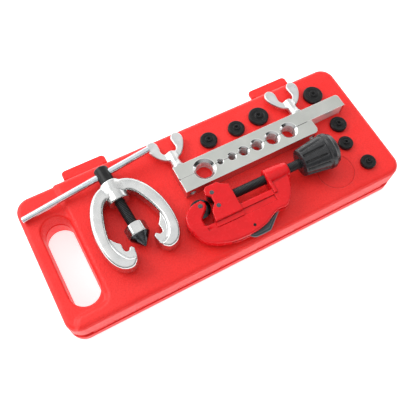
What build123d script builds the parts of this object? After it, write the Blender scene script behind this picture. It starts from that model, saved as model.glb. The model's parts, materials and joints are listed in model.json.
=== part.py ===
from build123d import *
from math import cos, radians, sin
import os

# Flaring tool kit: a moulded carrying case with the kit's tools lying on its lid.
# Millimetres, +X along the case, +Y towards the latches, +Z up, origin under the case.

os.makedirs("parts", exist_ok=True)
IN = 25.4

# case
case_l = 341.0
case_w = 135.0
case_h = 40.0
base_h = 20.0
corner_r = 14.0
seam = 0.3
grip_drop = 3.0
step_x = -130.5
step_y = -54.5
step_left = -163.5
edge_r = 5.0
wall = 4.0
rest_gap = 0.1
lid_z = case_h + rest_gap

# hand slot through the grip end
slot_x = -144.7
slot_y = -5.5
slot_l = 86.0
slot_w = 24.5
slot_draft = 6.0

# case hinge along the front edge
hinge_y = -64.1
hinge_z = 17.0
knuckle_r = 3.2
hinge_pin_r = 1.5
running = 0.05
groove_z = 12.0
groove_y = -60.5
knuckles = 15
knuckle_pitch = 20.4
knuckle_gap = 0.4

# latches on the rear edge
latch_xs = (-97.5, 107.2)
latch_w = 44.0
latch_reach = 12.0
latch_y = case_w / 2 + 2.7
latch_z = 27.0
latch_t = 3.0
latch_barrel_r = 2.3
latch_pin_r = 1.0
bead_z = 17.6
bead_t = 1.2

# split flaring bar
bar_x0 = -29.2
bar_front_x1 = 113.0
bar_rear_x1 = 151.8
bar_y = 12.5
bar_half_w = 14.0
bar_t = 12.5
bar_gap = 0.1
tube_sizes = (5 / 8, 3 / 16, 1 / 4, 5 / 16, 3 / 8, 7 / 16, 1 / 2)
tube_xs = (-3.5, 12.9, 25.2, 37.7, 52.1, 68.8, 87.2)
flare_ratio = 1.35
stud_xs = (-22.5, 106.3)
stud_r = 3.0
stud_z = lid_z + bar_t / 2

# wing nuts
nut_y = bar_y + bar_half_w + 0.1
nut_l = 18.0
nut_span = 17.4
wing_t = 3.6

# yoke and feed screw
yoke_x = -87.0
yoke_y = 49.4
yoke_turn = 3.0
yoke_z = case_h + 10.3
yoke_t = 16.0
hook_t = 11.0
boss_r = 10.0
boss_v0 = 11.3
boss_v1 = 32.0
screw_r = 4.75
head_r = 6.75
head_v0 = -6.5
collar_r = 10.2
collar_v0 = 57.5
collar_v1 = 68.2
cone_v1 = 79.0
tbar_r = 3.0
tbar_left = 81.0
tbar_right = 47.3
tbar_tilt = 6.8

# tube cutter, built on its own tilted middle plane
cutter_x = -25.0
cutter_y = -20.0
cutter_z = case_h + 8.6
cutter_yaw = -2.2
cutter_rise = 3.84
spine_t = 10.0
lobe_t = 14.0
block_t = 16.8
wheel_r = 9.4
wheel_t = 3.0
roller_r = 5.2
roller_x = 14.6
roller_y = 6.8
thread_r = 4.5
barrel_r = 8.8
barrel_x0 = 64.5
barrel_x1 = 88.0
barrel_nose = 2.4
knob_x0 = 100.0
knob_x1 = 139.0
knob_r = 17.1
reamer_x = 35.0
reamer_y = -36.0
reamer_t = 2.4

# flaring adapters
adapter_places = (
    (17.7, 42.4),
    (47.7, 41.9),
    (73.9, 44.1),
    (135.8, 41.1),
    (139.5, 0.8),
    (133.9, -20.2),
    (141.5, -47.1),
)
adapter_rs = (8.3, 8.2, 9.8, 9.8, 8.2, 7.2, 7.4)
adapter_t = 4.2
stub_t = 1.2


def save(part, name):
    part.label = name
    export_step(part, f"parts/{name}.step")


def case_outline():
    """Rounded plan of the case, drawn on the sketch in hand."""
    RectangleRounded(case_l, case_w, corner_r)


# the lid's raised panel is the whole plan less the lower grip area
def grip_area():
    """Take the lower grip area at the handle end off the sketch in hand."""
    far = case_l
    Polygon(
        (-far, far),
        (-far, -far),
        (step_left, -far),
        (step_left, step_y),
        (step_x, step_y),
        (step_x, far),
        align=None,
        mode=Mode.SUBTRACT,
    )


def pocket(x0, x1, y0, y1, radius):
    """Rounded rectangle between two corners, on the sketch in hand."""
    with Locations(((x0 + x1) / 2, (y0 + y1) / 2)):
        RectangleRounded(x1 - x0, y1 - y0, radius)


def knuckle_spans(first):
    """Start and end along X of every other hinge knuckle."""
    start = -knuckles * knuckle_pitch / 2
    for i in range(first, knuckles, 2):
        yield start + i * knuckle_pitch + knuckle_gap / 2, start + (i + 1) * knuckle_pitch - knuckle_gap / 2


# ---------------------------------------------------------------- case base
with BuildPart() as case_base:
    with BuildSketch(Plane.XY):
        case_outline()
    extrude(amount=base_h)
    fillet(case_base.faces().sort_by(Axis.Z)[0].edges(), edge_r)
    # moulded pockets for the yoke, bar, cutter and adapters
    with BuildSketch(Plane.XY.offset(base_h)):
        pocket(-120, -46, -54, 60, 8)
        pocket(-41, 163, 18, 60, 8)
        pocket(-41, 101, -54, 13.5, 8)
        pocket(106, 163, -54, 13.5, 8)
    extrude(amount=-(base_h - wall), mode=Mode.SUBTRACT)
    # groove for the hinge knuckles
    with BuildSketch(Plane.XY.offset(groove_z)):
        with Locations((0, groove_y - 5)):
            Rectangle(case_l + 2, 10)
    extrude(amount=base_h, mode=Mode.SUBTRACT)
    # hand slot, narrowest at the seam
    with BuildSketch(Plane.XY.offset(base_h)):
        with Locations((slot_x, slot_y)):
            SlotOverall(slot_l, slot_w, rotation=90)
    extrude(amount=-base_h, taper=-slot_draft, mode=Mode.SUBTRACT)
    # catch beads that the latches hook under
    for x in latch_xs:
        with Locations((x, case_w / 2 + 0.2, bead_z)):
            Box(latch_w - 16, 1.4, bead_t)
    # knuckles
    for x0, x1 in knuckle_spans(0):
        with BuildSketch(Plane.YZ.offset(x0)):
            with Locations((hinge_y, hinge_z)):
                Circle(knuckle_r)
            with BuildLine():
                Polyline(
                    (hinge_y, hinge_z - knuckle_r),
                    (groove_y + 0.5, hinge_z - knuckle_r),
                    (groove_y + 0.5, hinge_z + 2.6),
                    (hinge_y + 1.8, hinge_z + 2.6),
                    (hinge_y, hinge_z),
                    close=True,
                )
            make_face()
        extrude(amount=x1 - x0)
    with BuildSketch(Plane.YZ.offset(-case_l / 2)):
        with Locations((hinge_y, hinge_z)):
            Circle(hinge_pin_r + running)
    extrude(amount=case_l, mode=Mode.SUBTRACT)
save(case_base.part, "case_base")

with BuildPart() as hinge_pin:
    with BuildSketch(Plane.YZ.offset(-case_l / 2 + 9)):
        with Locations((hinge_y, hinge_z)):
            Circle(hinge_pin_r)
    extrude(amount=case_l - 18)
    fillet(hinge_pin.edges(), 0.5)
save(hinge_pin.part, "hinge_pin")

# ---------------------------------------------------------------- case lid
with BuildPart() as lid_panel:
    with BuildSketch(Plane.XY.offset(case_h - grip_drop - edge_r - 2)) as panel:
        case_outline()
        grip_area()
        fillet(panel.vertices().filter_by(lambda v: abs(v.Y - step_y) < 0.01), 8)
    extrude(amount=grip_drop + edge_r + 2)
    fillet(lid_panel.faces().sort_by(Axis.Z)[-1].edges(), edge_r)

with BuildPart() as case_lid:
    with BuildSketch(Plane.XY.offset(base_h + seam)):
        case_outline()
    extrude(amount=case_h - grip_drop - base_h - seam)
    fillet(case_lid.faces().sort_by(Axis.Z)[-1].edges(), edge_r - 0.4)
    # raised main panel
    add(lid_panel.part)
    # hollow under the panel
    with BuildSketch(Plane.XY.offset(base_h)):
        pocket(-121, 165.5, -56.5, 62.5, 9)
    extrude(amount=case_h - base_h - 3.5, mode=Mode.SUBTRACT)
    # hand slot
    with BuildSketch(Plane.XY.offset(base_h + seam)):
        with Locations((slot_x, slot_y)):
            SlotOverall(slot_l, slot_w, rotation=90)
    extrude(amount=case_h, taper=-slot_draft, mode=Mode.SUBTRACT)
    # plain round groove in the panel
    with BuildSketch(Plane.XY.offset(case_h - 0.6)):
        with Locations((100.0, -42.9)):
            Circle(24.4)
            Circle(23.4, mode=Mode.SUBTRACT)
    extrude(amount=1, mode=Mode.SUBTRACT)
    # lugs beside each latch
    for x in latch_xs:
        for side in (-1, 1):
            with BuildSketch(Plane.YZ.offset(x + side * (latch_w / 2 - 2) - 2)):
                with BuildLine():
                    Polyline(
                        (case_w / 2 - 1, latch_z - latch_barrel_r),
                        (latch_y, latch_z - latch_barrel_r),
                        (latch_y, latch_z + latch_barrel_r),
                        (case_w / 2 - 1, latch_z + latch_barrel_r),
                        close=True,
                    )
                make_face()
                with Locations((latch_y, latch_z)):
                    Circle(latch_barrel_r)
            extrude(amount=4)
        with BuildSketch(Plane.YZ.offset(x - latch_w / 2 - 1)):
            with Locations((latch_y, latch_z)):
                Circle(latch_pin_r + running)
        extrude(amount=latch_w + 2, mode=Mode.SUBTRACT)
    # knuckles hang below the seam
    for x0, x1 in knuckle_spans(1):
        with BuildSketch(Plane.YZ.offset(x0)):
            with Locations((hinge_y, hinge_z)):
                Circle(knuckle_r)
            with Locations((hinge_y, hinge_z + 2)):
                Rectangle(2 * knuckle_r - 0.2, 4)
        extrude(amount=x1 - x0)
    with BuildSketch(Plane.YZ.offset(-case_l / 2)):
        with Locations((hinge_y, hinge_z)):
            Circle(hinge_pin_r + running)
    extrude(amount=case_l, mode=Mode.SUBTRACT)
save(case_lid.part, "case_lid")


def latch(x, name):
    """A latch plate standing straight out, with its barrel and hook lip."""
    half = latch_w / 2
    with BuildPart() as plate:
        with BuildSketch(Plane.XY.offset(latch_z - latch_t / 2)) as face:
            with Locations((x, latch_y + latch_reach / 2)):
                Rectangle(latch_w, latch_reach)
            fillet(face.vertices().group_by(Axis.Y)[-1], 4)
        extrude(amount=latch_t)
        # hook lip on the underside
        with Locations((x, latch_y + latch_reach - 0.7, latch_z - latch_t / 2 - 0.5)):
            Box(latch_w - 14, 1.4, 1.4)
        with BuildSketch(Plane.YZ.offset(x - half + 4.4)):
            with Locations((latch_y, latch_z)):
                Circle(latch_barrel_r)
        extrude(amount=latch_w - 8.8)
        # room for the lid's lugs
        for side in (-1, 1):
            with Locations((x + side * (half - 2), latch_y, latch_z)):
                Box(4.8, 2 * latch_barrel_r + 0.8, 2 * latch_barrel_r + 1, mode=Mode.SUBTRACT)
        with BuildSketch(Plane.YZ.offset(x - half)):
            with Locations((latch_y, latch_z)):
                Circle(latch_pin_r + running)
        extrude(amount=latch_w, mode=Mode.SUBTRACT)
    save(plate.part, name)


latch(latch_xs[0], "latch_left")
latch(latch_xs[1], "latch_right")

with BuildPart() as latch_pins:
    for x in latch_xs:
        with BuildSketch(Plane.YZ.offset(x - latch_w / 2 - 0.4)):
            with Locations((latch_y, latch_z)):
                Circle(latch_pin_r)
        extrude(amount=latch_w + 0.8)
save(latch_pins.part, "latch_pins")


# ---------------------------------------------------------------- flaring bar
def tube_holes():
    """Seven split tube holes, each with a 45 degree flare at its top."""
    for x, size in zip(tube_xs, tube_sizes):
        r = size * IN / 2
        top = lid_z + bar_t
        depth = r * (flare_ratio - 1)
        with Locations((x, bar_y, lid_z + bar_t / 2)):
            Cylinder(r, bar_t + 2, mode=Mode.SUBTRACT)
        with Locations((x, bar_y, top)):
            Cone(r, r + depth, depth, align=(Align.CENTER, Align.CENTER, Align.MAX), mode=Mode.SUBTRACT)


def stud_holes():
    """Cross bores for the two clamp studs."""
    with Locations(*[Location((x, bar_y, stud_z), (90, 0, 0)) for x in stud_xs]):
        Cylinder(stud_r + running, 2 * bar_half_w + 2, mode=Mode.SUBTRACT)


def bar_half(y0, y1, x1, name, corner):
    """One half of the split bar between two Y faces."""
    with BuildPart() as half:
        with BuildSketch(Plane.XY.offset(lid_z)) as plan:
            with Locations(((bar_x0 + x1) / 2, (y0 + y1) / 2)):
                Rectangle(x1 - bar_x0, y1 - y0)
            fillet(plan.vertices().group_by(Axis.X)[-1], corner)
        extrude(amount=bar_t)
        chamfer(half.faces().sort_by(Axis.Z)[-1].edges(), 0.5)
        tube_holes()
        stud_holes()
        # small punched notch where the halves meet at the left end
        with Locations((bar_x0, bar_y, lid_z + bar_t)):
            Cylinder(1.3, 3, mode=Mode.SUBTRACT)
    save(half.part, name)


bar_half(bar_y + bar_gap / 2, bar_y + bar_half_w, bar_rear_x1, "bar_rear", 3.5)
bar_half(bar_y - bar_half_w, bar_y - bar_gap / 2, bar_front_x1, "bar_front", 4.5)

with BuildPart() as clamp_studs:
    with BuildSketch(Plane.XZ.offset(-(bar_y - bar_half_w + 1))):
        with Locations(*[(x, stud_z) for x in stud_xs]):
            Circle(stud_r)
    extrude(amount=-(nut_y + nut_l - 1 - bar_y + bar_half_w - 1))
    chamfer(clamp_studs.edges(), 0.5)
save(clamp_studs.part, "clamp_studs")


def wing_nut(x, name):
    """Wing nut on a stud that points along +Y, wings spread level."""
    with BuildPart() as nut:
        with BuildSketch(Plane.XY.offset(stud_z)):
            with BuildLine():
                Polyline(
                    (x, nut_y),
                    (x + 6.2, nut_y),
                    (x + 6.1, nut_y + 1.6),
                    (x + 5.2, nut_y + 3.4),
                    (x + 4.6, nut_y + nut_l - 1.5),
                    (x + 4.0, nut_y + nut_l),
                    (x, nut_y + nut_l),
                    close=True,
                )
            make_face()
        revolve(axis=Axis((x, 0, stud_z), (0, 1, 0)))
        with BuildSketch(Plane.XY.offset(stud_z - wing_t / 2)) as wing:
            with BuildLine():
                Spline(
                    (x + 3, nut_y + 8.6),
                    (x + 9, nut_y + 11.6),
                    (x + 14.8, nut_y + 17.4),
                    (x + nut_span, nut_y + 26),
                    (x + 16.4, nut_y + 33),
                    (x + 12.8, nut_y + 35.6),
                    (x + 9.6, nut_y + 32.5),
                    (x + 8.8, nut_y + 26),
                    (x + 7.6, nut_y + 20),
                    (x + 3, nut_y + 16.8),
                )
                Line((x + 3, nut_y + 16.8), (x + 3, nut_y + 8.6))
            make_face()
            mirror(about=Plane.YZ.offset(x))
        extrude(amount=wing_t)
        with BuildSketch(Plane.XZ.offset(-nut_y + 1)):
            with Locations((x, stud_z)):
                Circle(stud_r + running)
        extrude(amount=-(nut_l + 3), mode=Mode.SUBTRACT)
    save(nut.part, name)


wing_nut(stud_xs[0], "wing_nut_left")
wing_nut(stud_xs[1], "wing_nut_right")

# ---------------------------------------------------------------- yoke
# local plane: origin on the feed screw where the T-bar crosses, x across, y back from the cone
yoke_plane = Plane(
    origin=(yoke_x, yoke_y, yoke_z),
    x_dir=(cos(radians(yoke_turn)), sin(radians(yoke_turn)), 0),
    z_dir=(0, 0, 1),
)


def along_screw(v):
    """Plane square to the feed screw, v millimetres in front of the T-bar."""
    return Plane(
        origin=yoke_plane.from_local_coords((0, -v, 0)),
        x_dir=yoke_plane.x_dir,
        z_dir=-yoke_plane.y_dir,
    )


def rod(plane, radius, length, mode=Mode.ADD):
    """Round bar, or round hole, standing on a plane."""
    with BuildSketch(plane) as disc:
        Circle(radius)
    extrude(disc.sketch, amount=length, mode=mode)


with BuildPart() as yoke_frame:
    # thick outer rim of the C
    with BuildSketch(yoke_plane.offset(-yoke_t / 2)):
        with BuildLine():
            Spline(
                (4, -13.5),
                (13, -14.4),
                (21.5, -20),
                (28.4, -30),
                (33.4, -43.5),
                (35.5, -58),
                (34.9, -73),
                (31.2, -84.5),
                (25, -90.6),
                (17.4, -91.6),
                (12.6, -88.6),
                (11.2, -85.2),
            )
            Spline((11.2, -85.2), (18.5, -82), (23.6, -72), (24.2, -60), (19.9, -43), (13.2, -29), (4, -25))
            Line((4, -25), (4, -13.5))
        make_face()
        mirror(about=Plane.YZ)
    extrude(amount=yoke_t)
    # thinner hooks that grip the flaring bar from below
    with BuildSketch(yoke_plane.offset(-hook_t / 2)):
        with BuildLine():
            Polyline((25, -62), (20.9, -65.4), (18.1, -68.6), (18.3, -73.8))
            ThreePointArc((18.3, -73.8), (16.2, -77.4), (13.4, -74.9))
            Polyline((13.4, -74.9), (11.4, -74.6), (9.7, -76.6), (11.0, -84.6))
            Polyline((11.0, -84.6), (13.5, -86), (26, -76), (25, -62))
        make_face()
        mirror(about=Plane.YZ)
    extrude(amount=hook_t)
    # boss round the feed screw
    rod(along_screw(boss_v0), boss_r, boss_v1 - boss_v0)
    boss_rims = yoke_frame.edges().filter_by(GeomType.CIRCLE)
    fillet(boss_rims.filter_by(lambda e: abs(e.radius - boss_r) < 0.01), 1.2)
    with BuildSketch(along_screw(boss_v0 - 1)):
        Circle(screw_r + running)
    extrude(amount=boss_v1 - boss_v0 + 2, mode=Mode.SUBTRACT)
save(yoke_frame.part, "yoke_frame")

with BuildPart() as feed_screw:
    rod(along_screw(boss_v0 - 0.2), screw_r, collar_v0 - boss_v0 + 0.1)
save(feed_screw.part, "feed_screw")

tbar_plane = Plane(
    origin=yoke_plane.origin,
    x_dir=-yoke_plane.y_dir,
    z_dir=yoke_plane.x_dir.rotate(Axis((0, 0, 0), -yoke_plane.y_dir), tbar_tilt),
)

with BuildPart() as screw_head:
    rod(along_screw(head_v0), head_r, boss_v0 - 0.4 - head_v0)
    fillet(screw_head.edges(), 1.0)
    with BuildSketch(tbar_plane.offset(-2 * head_r)):
        Circle(tbar_r + running)
    extrude(amount=4 * head_r, mode=Mode.SUBTRACT)
save(screw_head.part, "screw_head")

with BuildPart() as t_bar:
    rod(tbar_plane.offset(-tbar_left), tbar_r, tbar_left + tbar_right)
    fillet(t_bar.edges(), 1.0)
save(t_bar.part, "t_bar")

with BuildPart() as cone_collar:
    rod(along_screw(collar_v0), collar_r, collar_v1 - collar_v0)
    chamfer(cone_collar.edges(), 1.0)
save(cone_collar.part, "cone_collar")

with BuildPart() as flaring_cone:
    with BuildSketch(along_screw(collar_v1 + 0.05)):
        Circle(collar_r - 0.4)
    with BuildSketch(along_screw(cone_v1)):
        Circle(0.35)
    loft()
save(flaring_cone.part, "flaring_cone")

# ---------------------------------------------------------------- tube cutter
# local plane: origin at the wheel pin, x along the screw to the knob, z through the thickness
cutter_plane = Plane(origin=(cutter_x, cutter_y, cutter_z), x_dir=(1, 0, 0), z_dir=(0, 0, 1))
cutter_plane = cutter_plane.rotated((0, -cutter_rise, cutter_yaw))


def along_cutter(x):
    """Plane square to the cutter's screw, facing the knob."""
    return Plane(
        origin=cutter_plane.from_local_coords((x, 0, 0)),
        x_dir=cutter_plane.y_dir,
        z_dir=cutter_plane.x_dir,
    )


def slab(thickness, centre=0.0):
    """Cutter plane lowered to the bottom of a slab about the middle plane."""
    return cutter_plane.offset(centre - thickness / 2)


def hole_through(x, y, radius):
    """Hole square to the cutter plane."""
    with BuildSketch(slab(40)) as disc:
        with Locations((x, y)):
            Circle(radius)
    extrude(disc.sketch, amount=40, mode=Mode.SUBTRACT)


with BuildPart() as cutter_frame:
    # C-shaped spine
    with BuildSketch(slab(spine_t)):
        with BuildLine():
            Spline(
                (2.5, 4.8),
                (-7, 3.4),
                (-15.1, -2.7),
                (-17.5, -11),
                (-16.4, -18),
                (-12, -28.4),
                (-1.5, -36.2),
                (12.8, -40.8),
                (25.2, -41.7),
                (36, -41),
                (46, -38.6),
                (54.5, -34.4),
                (61.5, -31.8),
                (68.5, -32.2),
                (74, -28.6),
                (79.4, -21.5),
                (84, -11),
                (86, -2),
            )
            Polyline((86, -2), (66, -2), (66, -12), (7, -12), (7, -18), (-3.8, -18))
            Spline((-3.8, -18), (-4.6, -13), (-2.6, -8.6), (3.4, -3), (4.8, 1), (2.5, 4.8))
        make_face()
    extrude(amount=spine_t)
    # thicker lobe that carries the wheel
    with BuildSketch(slab(lobe_t)):
        with BuildLine():
            Spline((2.9, 5.4), (-7.3, 4.0), (-15.7, -2.5), (-18.1, -11), (-16.9, -18.4))
            Line((-16.9, -18.4), (-3.4, -16.4))
            Spline((-3.4, -16.4), (-3.9, -12.6), (-2.0, -9.0), (4.0, -3.2), (5.4, 1.2), (2.9, 5.4))
        make_face()
    extrude(amount=lobe_t)
    # end wall and threaded barrel
    with BuildSketch(slab(block_t)):
        with BuildLine():
            Polyline((64.5, 6), (64.5, -17.5), (69, -17.5), (69, 6), close=True)
        make_face()
    extrude(amount=block_t)
    rod(along_cutter(barrel_x0), barrel_r, barrel_x1 - barrel_x0 - barrel_nose)
    with BuildSketch(along_cutter(barrel_x1 - barrel_nose)):
        Circle(barrel_r)
    extrude(amount=barrel_nose, taper=40)
    # guide bands beside the rail, sunk from both sides
    for side in (-1, 1):
        with BuildSketch(slab(3.0, side * (spine_t / 2))):
            with BuildLine():
                Polyline((-3.0, -18), (64, -18), (64, -24), (-3.0, -24), close=True)
            make_face()
        extrude(amount=3.0, mode=Mode.SUBTRACT)
    # slot for the cutting wheel
    with BuildSketch(slab(wheel_t + 0.6)):
        Circle(wheel_r + 1.6)
        with Locations((8, 0)):
            Rectangle(14, 2 * wheel_r)
    extrude(amount=wheel_t + 0.6, mode=Mode.SUBTRACT)
    hole_through(0, 0, 1.6)
    # slot for the reamer blade
    with BuildSketch(slab(reamer_t + 0.5)):
        with BuildLine():
            Polyline((15, -24), (70, -24), (76, -34), (60, -60), (6, -60), close=True)
        make_face()
    extrude(amount=reamer_t + 0.5, mode=Mode.SUBTRACT)
    hole_through(reamer_x, reamer_y, 1.3)
    with BuildSketch(along_cutter(barrel_x0 - 2)):
        Circle(thread_r + running)
    extrude(amount=barrel_x1 - barrel_x0 + 4, mode=Mode.SUBTRACT)
save(cutter_frame.part, "cutter_frame")

with BuildPart() as wheel_pin:
    with BuildSketch(slab(lobe_t + 0.4)):
        Circle(1.5)
    extrude(amount=lobe_t + 0.4)
save(wheel_pin.part, "wheel_pin")

with BuildPart() as cutting_wheel:
    with BuildSketch(slab(wheel_t)):
        Circle(wheel_r)
    extrude(amount=wheel_t)
    chamfer(cutting_wheel.edges().filter_by(GeomType.CIRCLE), length=1.3, length2=3.2)
    with BuildSketch(slab(wheel_t + 2)):
        Circle(1.5 + running)
    extrude(amount=wheel_t + 2, mode=Mode.SUBTRACT)
save(cutting_wheel.part, "cutting_wheel")

with BuildPart() as slide_block:
    # side cheeks that straddle the rail and hold the rollers
    with BuildSketch(slab(block_t)):
        with BuildLine():
            Polyline(
                (5.6, -19.2),
                (32, -19.2),
                (32, 7.6),
                (25.4, 11.6),
                (23.2, 14.4),
                (14.6, 14.4),
            )
            ThreePointArc((14.6, 14.4), (9.6, 12.6), (8.4, 6.8))
            Polyline((8.4, 6.8), (12.4, 3.6), (12.4, -3), (7.4, -8.4), (5.6, -19.2))
        make_face()
    extrude(amount=block_t)
    # gap for the frame's rail and for the rollers
    with BuildSketch(slab(spine_t + 0.2)):
        with BuildLine():
            Polyline((0, -11.9), (40, -11.9), (40, -30), (0, -30), close=True)
        make_face()
        with BuildLine():
            Polyline((0, -13), (20.4, -13), (20.4, 20), (0, 20), close=True)
        make_face()
    extrude(amount=spine_t + 0.2, mode=Mode.SUBTRACT)
    # thin guide legs that run in the sunk bands
    for side in (-1, 1):
        with BuildSketch(slab(2.0, side * (spine_t / 2 - 0.4))):
            with BuildLine():
                Polyline((5.6, -18.1), (32, -18.1), (32, -23.8), (5.6, -23.8), close=True)
            make_face()
        extrude(amount=2.0)
    with BuildSketch(slab(40)):
        with Locations((roller_x, roller_y), (roller_x, -roller_y)):
            Circle(1.6)
    extrude(amount=40, mode=Mode.SUBTRACT)
    # socket for the screw's nose
    with BuildSketch(along_cutter(24)):
        Circle(thread_r + running)
    extrude(amount=20, mode=Mode.SUBTRACT)
save(slide_block.part, "slide_block")

with BuildPart() as roller_pins:
    with BuildSketch(slab(block_t + 0.4)):
        with Locations((roller_x, roller_y), (roller_x, -roller_y)):
            Circle(1.5)
    extrude(amount=block_t + 0.4)
save(roller_pins.part, "roller_pins")


def roller(y, name):
    """Guide roller that turns on its pin between the cheeks."""
    with BuildPart() as wheel:
        with BuildSketch(slab(spine_t - 0.4)):
            with Locations((roller_x, y)):
                Circle(roller_r)
                Circle(1.5 + running, mode=Mode.SUBTRACT)
        extrude(amount=spine_t - 0.4)
        # groove that lets the wheel pass a flared tube end
        with BuildSketch(slab(1.2)):
            with Locations((roller_x, y)):
                Circle(roller_r + 1)
                Circle(roller_r - 0.8, mode=Mode.SUBTRACT)
        extrude(amount=1.2, mode=Mode.SUBTRACT)
    save(wheel.part, name)


roller(roller_y, "roller_upper")
roller(-roller_y, "roller_lower")

with BuildPart() as cutter_screw:
    rod(along_cutter(24.2), thread_r, knob_x0 + 6 - 24.2)
    chamfer(cutter_screw.edges().sort_by(Axis.X)[0], 0.8)
save(cutter_screw.part, "cutter_screw")

with BuildPart() as knob:
    # turned body, seen along the screw
    profile = Plane(
        origin=cutter_plane.origin,
        x_dir=cutter_plane.x_dir,
        z_dir=-cutter_plane.y_dir,
    )
    with BuildSketch(profile):
        with BuildLine():
            Polyline((knob_x0, 0), (knob_x0, 9), (knob_x0 + 1.5, 12.8), (knob_x0 + 25, 16.6))
            Polyline((knob_x0 + 25, 16.6), (knob_x0 + 27, knob_r), (knob_x0 + 31, knob_r))
            Spline((knob_x0 + 31, knob_r), (knob_x0 + 35.5, 15.2), (knob_x1 - 0.6, 10), (knob_x1, 0))
            Line((knob_x1, 0), (knob_x0, 0))
        make_face()
    revolve(axis=Axis(cutter_plane.origin, cutter_plane.x_dir))
    # finger flutes
    for i in range(12):
        angle = radians(360 / 12 * i)
        flute = Plane(
            origin=cutter_plane.from_local_coords((knob_x0 - 1, 17.6 * cos(angle), 17.6 * sin(angle))),
            x_dir=cutter_plane.y_dir,
            z_dir=cutter_plane.x_dir,
        )
        with BuildSketch(flute):
            Circle(2.6)
        extrude(amount=24, mode=Mode.SUBTRACT)
    with BuildSketch(along_cutter(knob_x0 - 1)):
        Circle(thread_r)
    extrude(amount=7, mode=Mode.SUBTRACT)
save(knob.part, "knob")

with BuildPart() as reamer_blade:
    with BuildSketch(slab(reamer_t)):
        with BuildLine():
            Polyline((65.5, -30.5), (47, -46.4), (38, -46.8))
            ThreePointArc((38, -46.8), (28.8, -45), (25.8, -40))
            Polyline((25.8, -40), (30.5, -32.5), (38, -31.4), (52, -32.4), (65.5, -30.5))
        make_face()
        with Locations((reamer_x, reamer_y)):
            Circle(1.2 + running, mode=Mode.SUBTRACT)
    extrude(amount=reamer_t)
save(reamer_blade.part, "reamer_blade")

with BuildPart() as reamer_pin:
    with BuildSketch(slab(spine_t + 0.2)):
        with Locations((reamer_x, reamer_y)):
            Circle(1.2)
    extrude(amount=spine_t + 0.2)
save(reamer_pin.part, "reamer_pin")


# ---------------------------------------------------------------- adapters
def adapter(place, radius, name):
    """Double-flaring adapter: a disc with a low dimpled stub."""
    x, y = place
    with BuildPart() as disc:
        with BuildSketch(Plane.XY.offset(lid_z)):
            with Locations((x, y)):
                Circle(radius)
        extrude(amount=adapter_t)
        chamfer(disc.edges(), 0.7)
        with BuildSketch(Plane.XY.offset(lid_z + adapter_t)):
            with Locations((x, y)):
                Circle(radius * 0.36)
        extrude(amount=stub_t)
        with BuildSketch(Plane.XY.offset(lid_z + adapter_t + stub_t)):
            with Locations((x, y)):
                Circle(radius * 0.2)
        extrude(amount=-2.0, taper=25, mode=Mode.SUBTRACT)
    save(disc.part, name)


for i, (place, radius) in enumerate(zip(adapter_places, adapter_rs)):
    adapter(place, radius, f"adapter_{i + 1}")
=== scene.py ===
"""Flaring tool kit: a red moulded case with a yoke, a split bar, a tube cutter and adapters on its lid.

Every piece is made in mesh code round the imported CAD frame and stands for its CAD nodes. Shaped bodies are
distance fields, functions of x, y and z that are negative inside, turned into smooth quads by surface nets.
Turned pieces are profiles spun round an axis. Fields and profiles are in millimetres, meshes are in metres.
"""

import json
import math

import bpy
import numpy as np
from mathutils import Matrix, Vector

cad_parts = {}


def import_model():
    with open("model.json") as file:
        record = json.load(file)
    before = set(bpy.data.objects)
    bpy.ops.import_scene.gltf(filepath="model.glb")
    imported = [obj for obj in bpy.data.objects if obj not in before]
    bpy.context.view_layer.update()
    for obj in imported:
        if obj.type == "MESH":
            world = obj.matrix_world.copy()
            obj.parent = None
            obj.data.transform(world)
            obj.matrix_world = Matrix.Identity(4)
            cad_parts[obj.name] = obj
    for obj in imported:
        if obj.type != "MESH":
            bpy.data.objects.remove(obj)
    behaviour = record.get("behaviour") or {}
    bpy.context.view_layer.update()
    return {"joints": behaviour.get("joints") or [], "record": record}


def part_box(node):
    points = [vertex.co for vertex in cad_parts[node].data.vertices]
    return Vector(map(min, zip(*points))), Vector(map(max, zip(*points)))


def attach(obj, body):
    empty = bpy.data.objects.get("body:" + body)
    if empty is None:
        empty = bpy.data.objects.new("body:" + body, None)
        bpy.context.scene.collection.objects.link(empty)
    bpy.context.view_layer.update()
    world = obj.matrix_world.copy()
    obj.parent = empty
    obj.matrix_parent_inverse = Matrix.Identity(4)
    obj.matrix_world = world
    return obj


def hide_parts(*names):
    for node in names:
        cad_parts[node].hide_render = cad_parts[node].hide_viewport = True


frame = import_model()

MM = 0.001
# room round pins and studs, and round the screws and the T-bar, in millimetres
PIN_FIT = 0.05
SCREW_FIT = 0.06
# slope of the field of a face at 45 degrees
SLANT = 0.7071
record = frame["record"]
joints = {joint["name"]: joint for joint in frame["joints"]}
slot_of = {part["node"]: part["material_slot"] for part in record["subparts"]}
body_of = {}
for body, members in record["behaviour"]["bodies"].items():
    for member in members:
        body_of[member] = body


def box_mm(node):
    """Lowest and highest corner of a CAD node, in millimetres."""
    low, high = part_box(node)
    return low / MM, high / MM


# ---------------- fields
def meet(a, b, r=0.0):
    """Solid where both fields are, with the edge between them rounded to radius r."""
    u = a + r
    v = b + r
    return np.minimum(np.maximum(u, v), 0) + np.hypot(np.maximum(u, 0), np.maximum(v, 0)) - r


def join(a, b, r=0.0):
    """Solid where either field is, with a fillet of radius r between them."""
    return -meet(-a, -b, r)


def cut(a, b, r=0.0):
    """The first field without the second, with the new edge rounded."""
    return meet(a, -b, r)


def disc(x, y, r):
    return np.hypot(x, y) - r


def rectangle(x, y, half_x, half_y, corner=0.0):
    return meet(np.abs(x) - half_x, np.abs(y) - half_y, corner)


def between(value, low, high):
    return np.abs(value - (low + high) / 2) - (high - low) / 2


def layer(plan, z, low, high, r_low=0.0, r_high=None):
    """A plan field given a thickness, with its lower and upper edges rounded."""
    r_high = r_low if r_high is None else r_high
    r = np.where(z > (low + high) / 2, r_high, r_low)
    return meet(plan, between(z, low, high), r)


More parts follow.
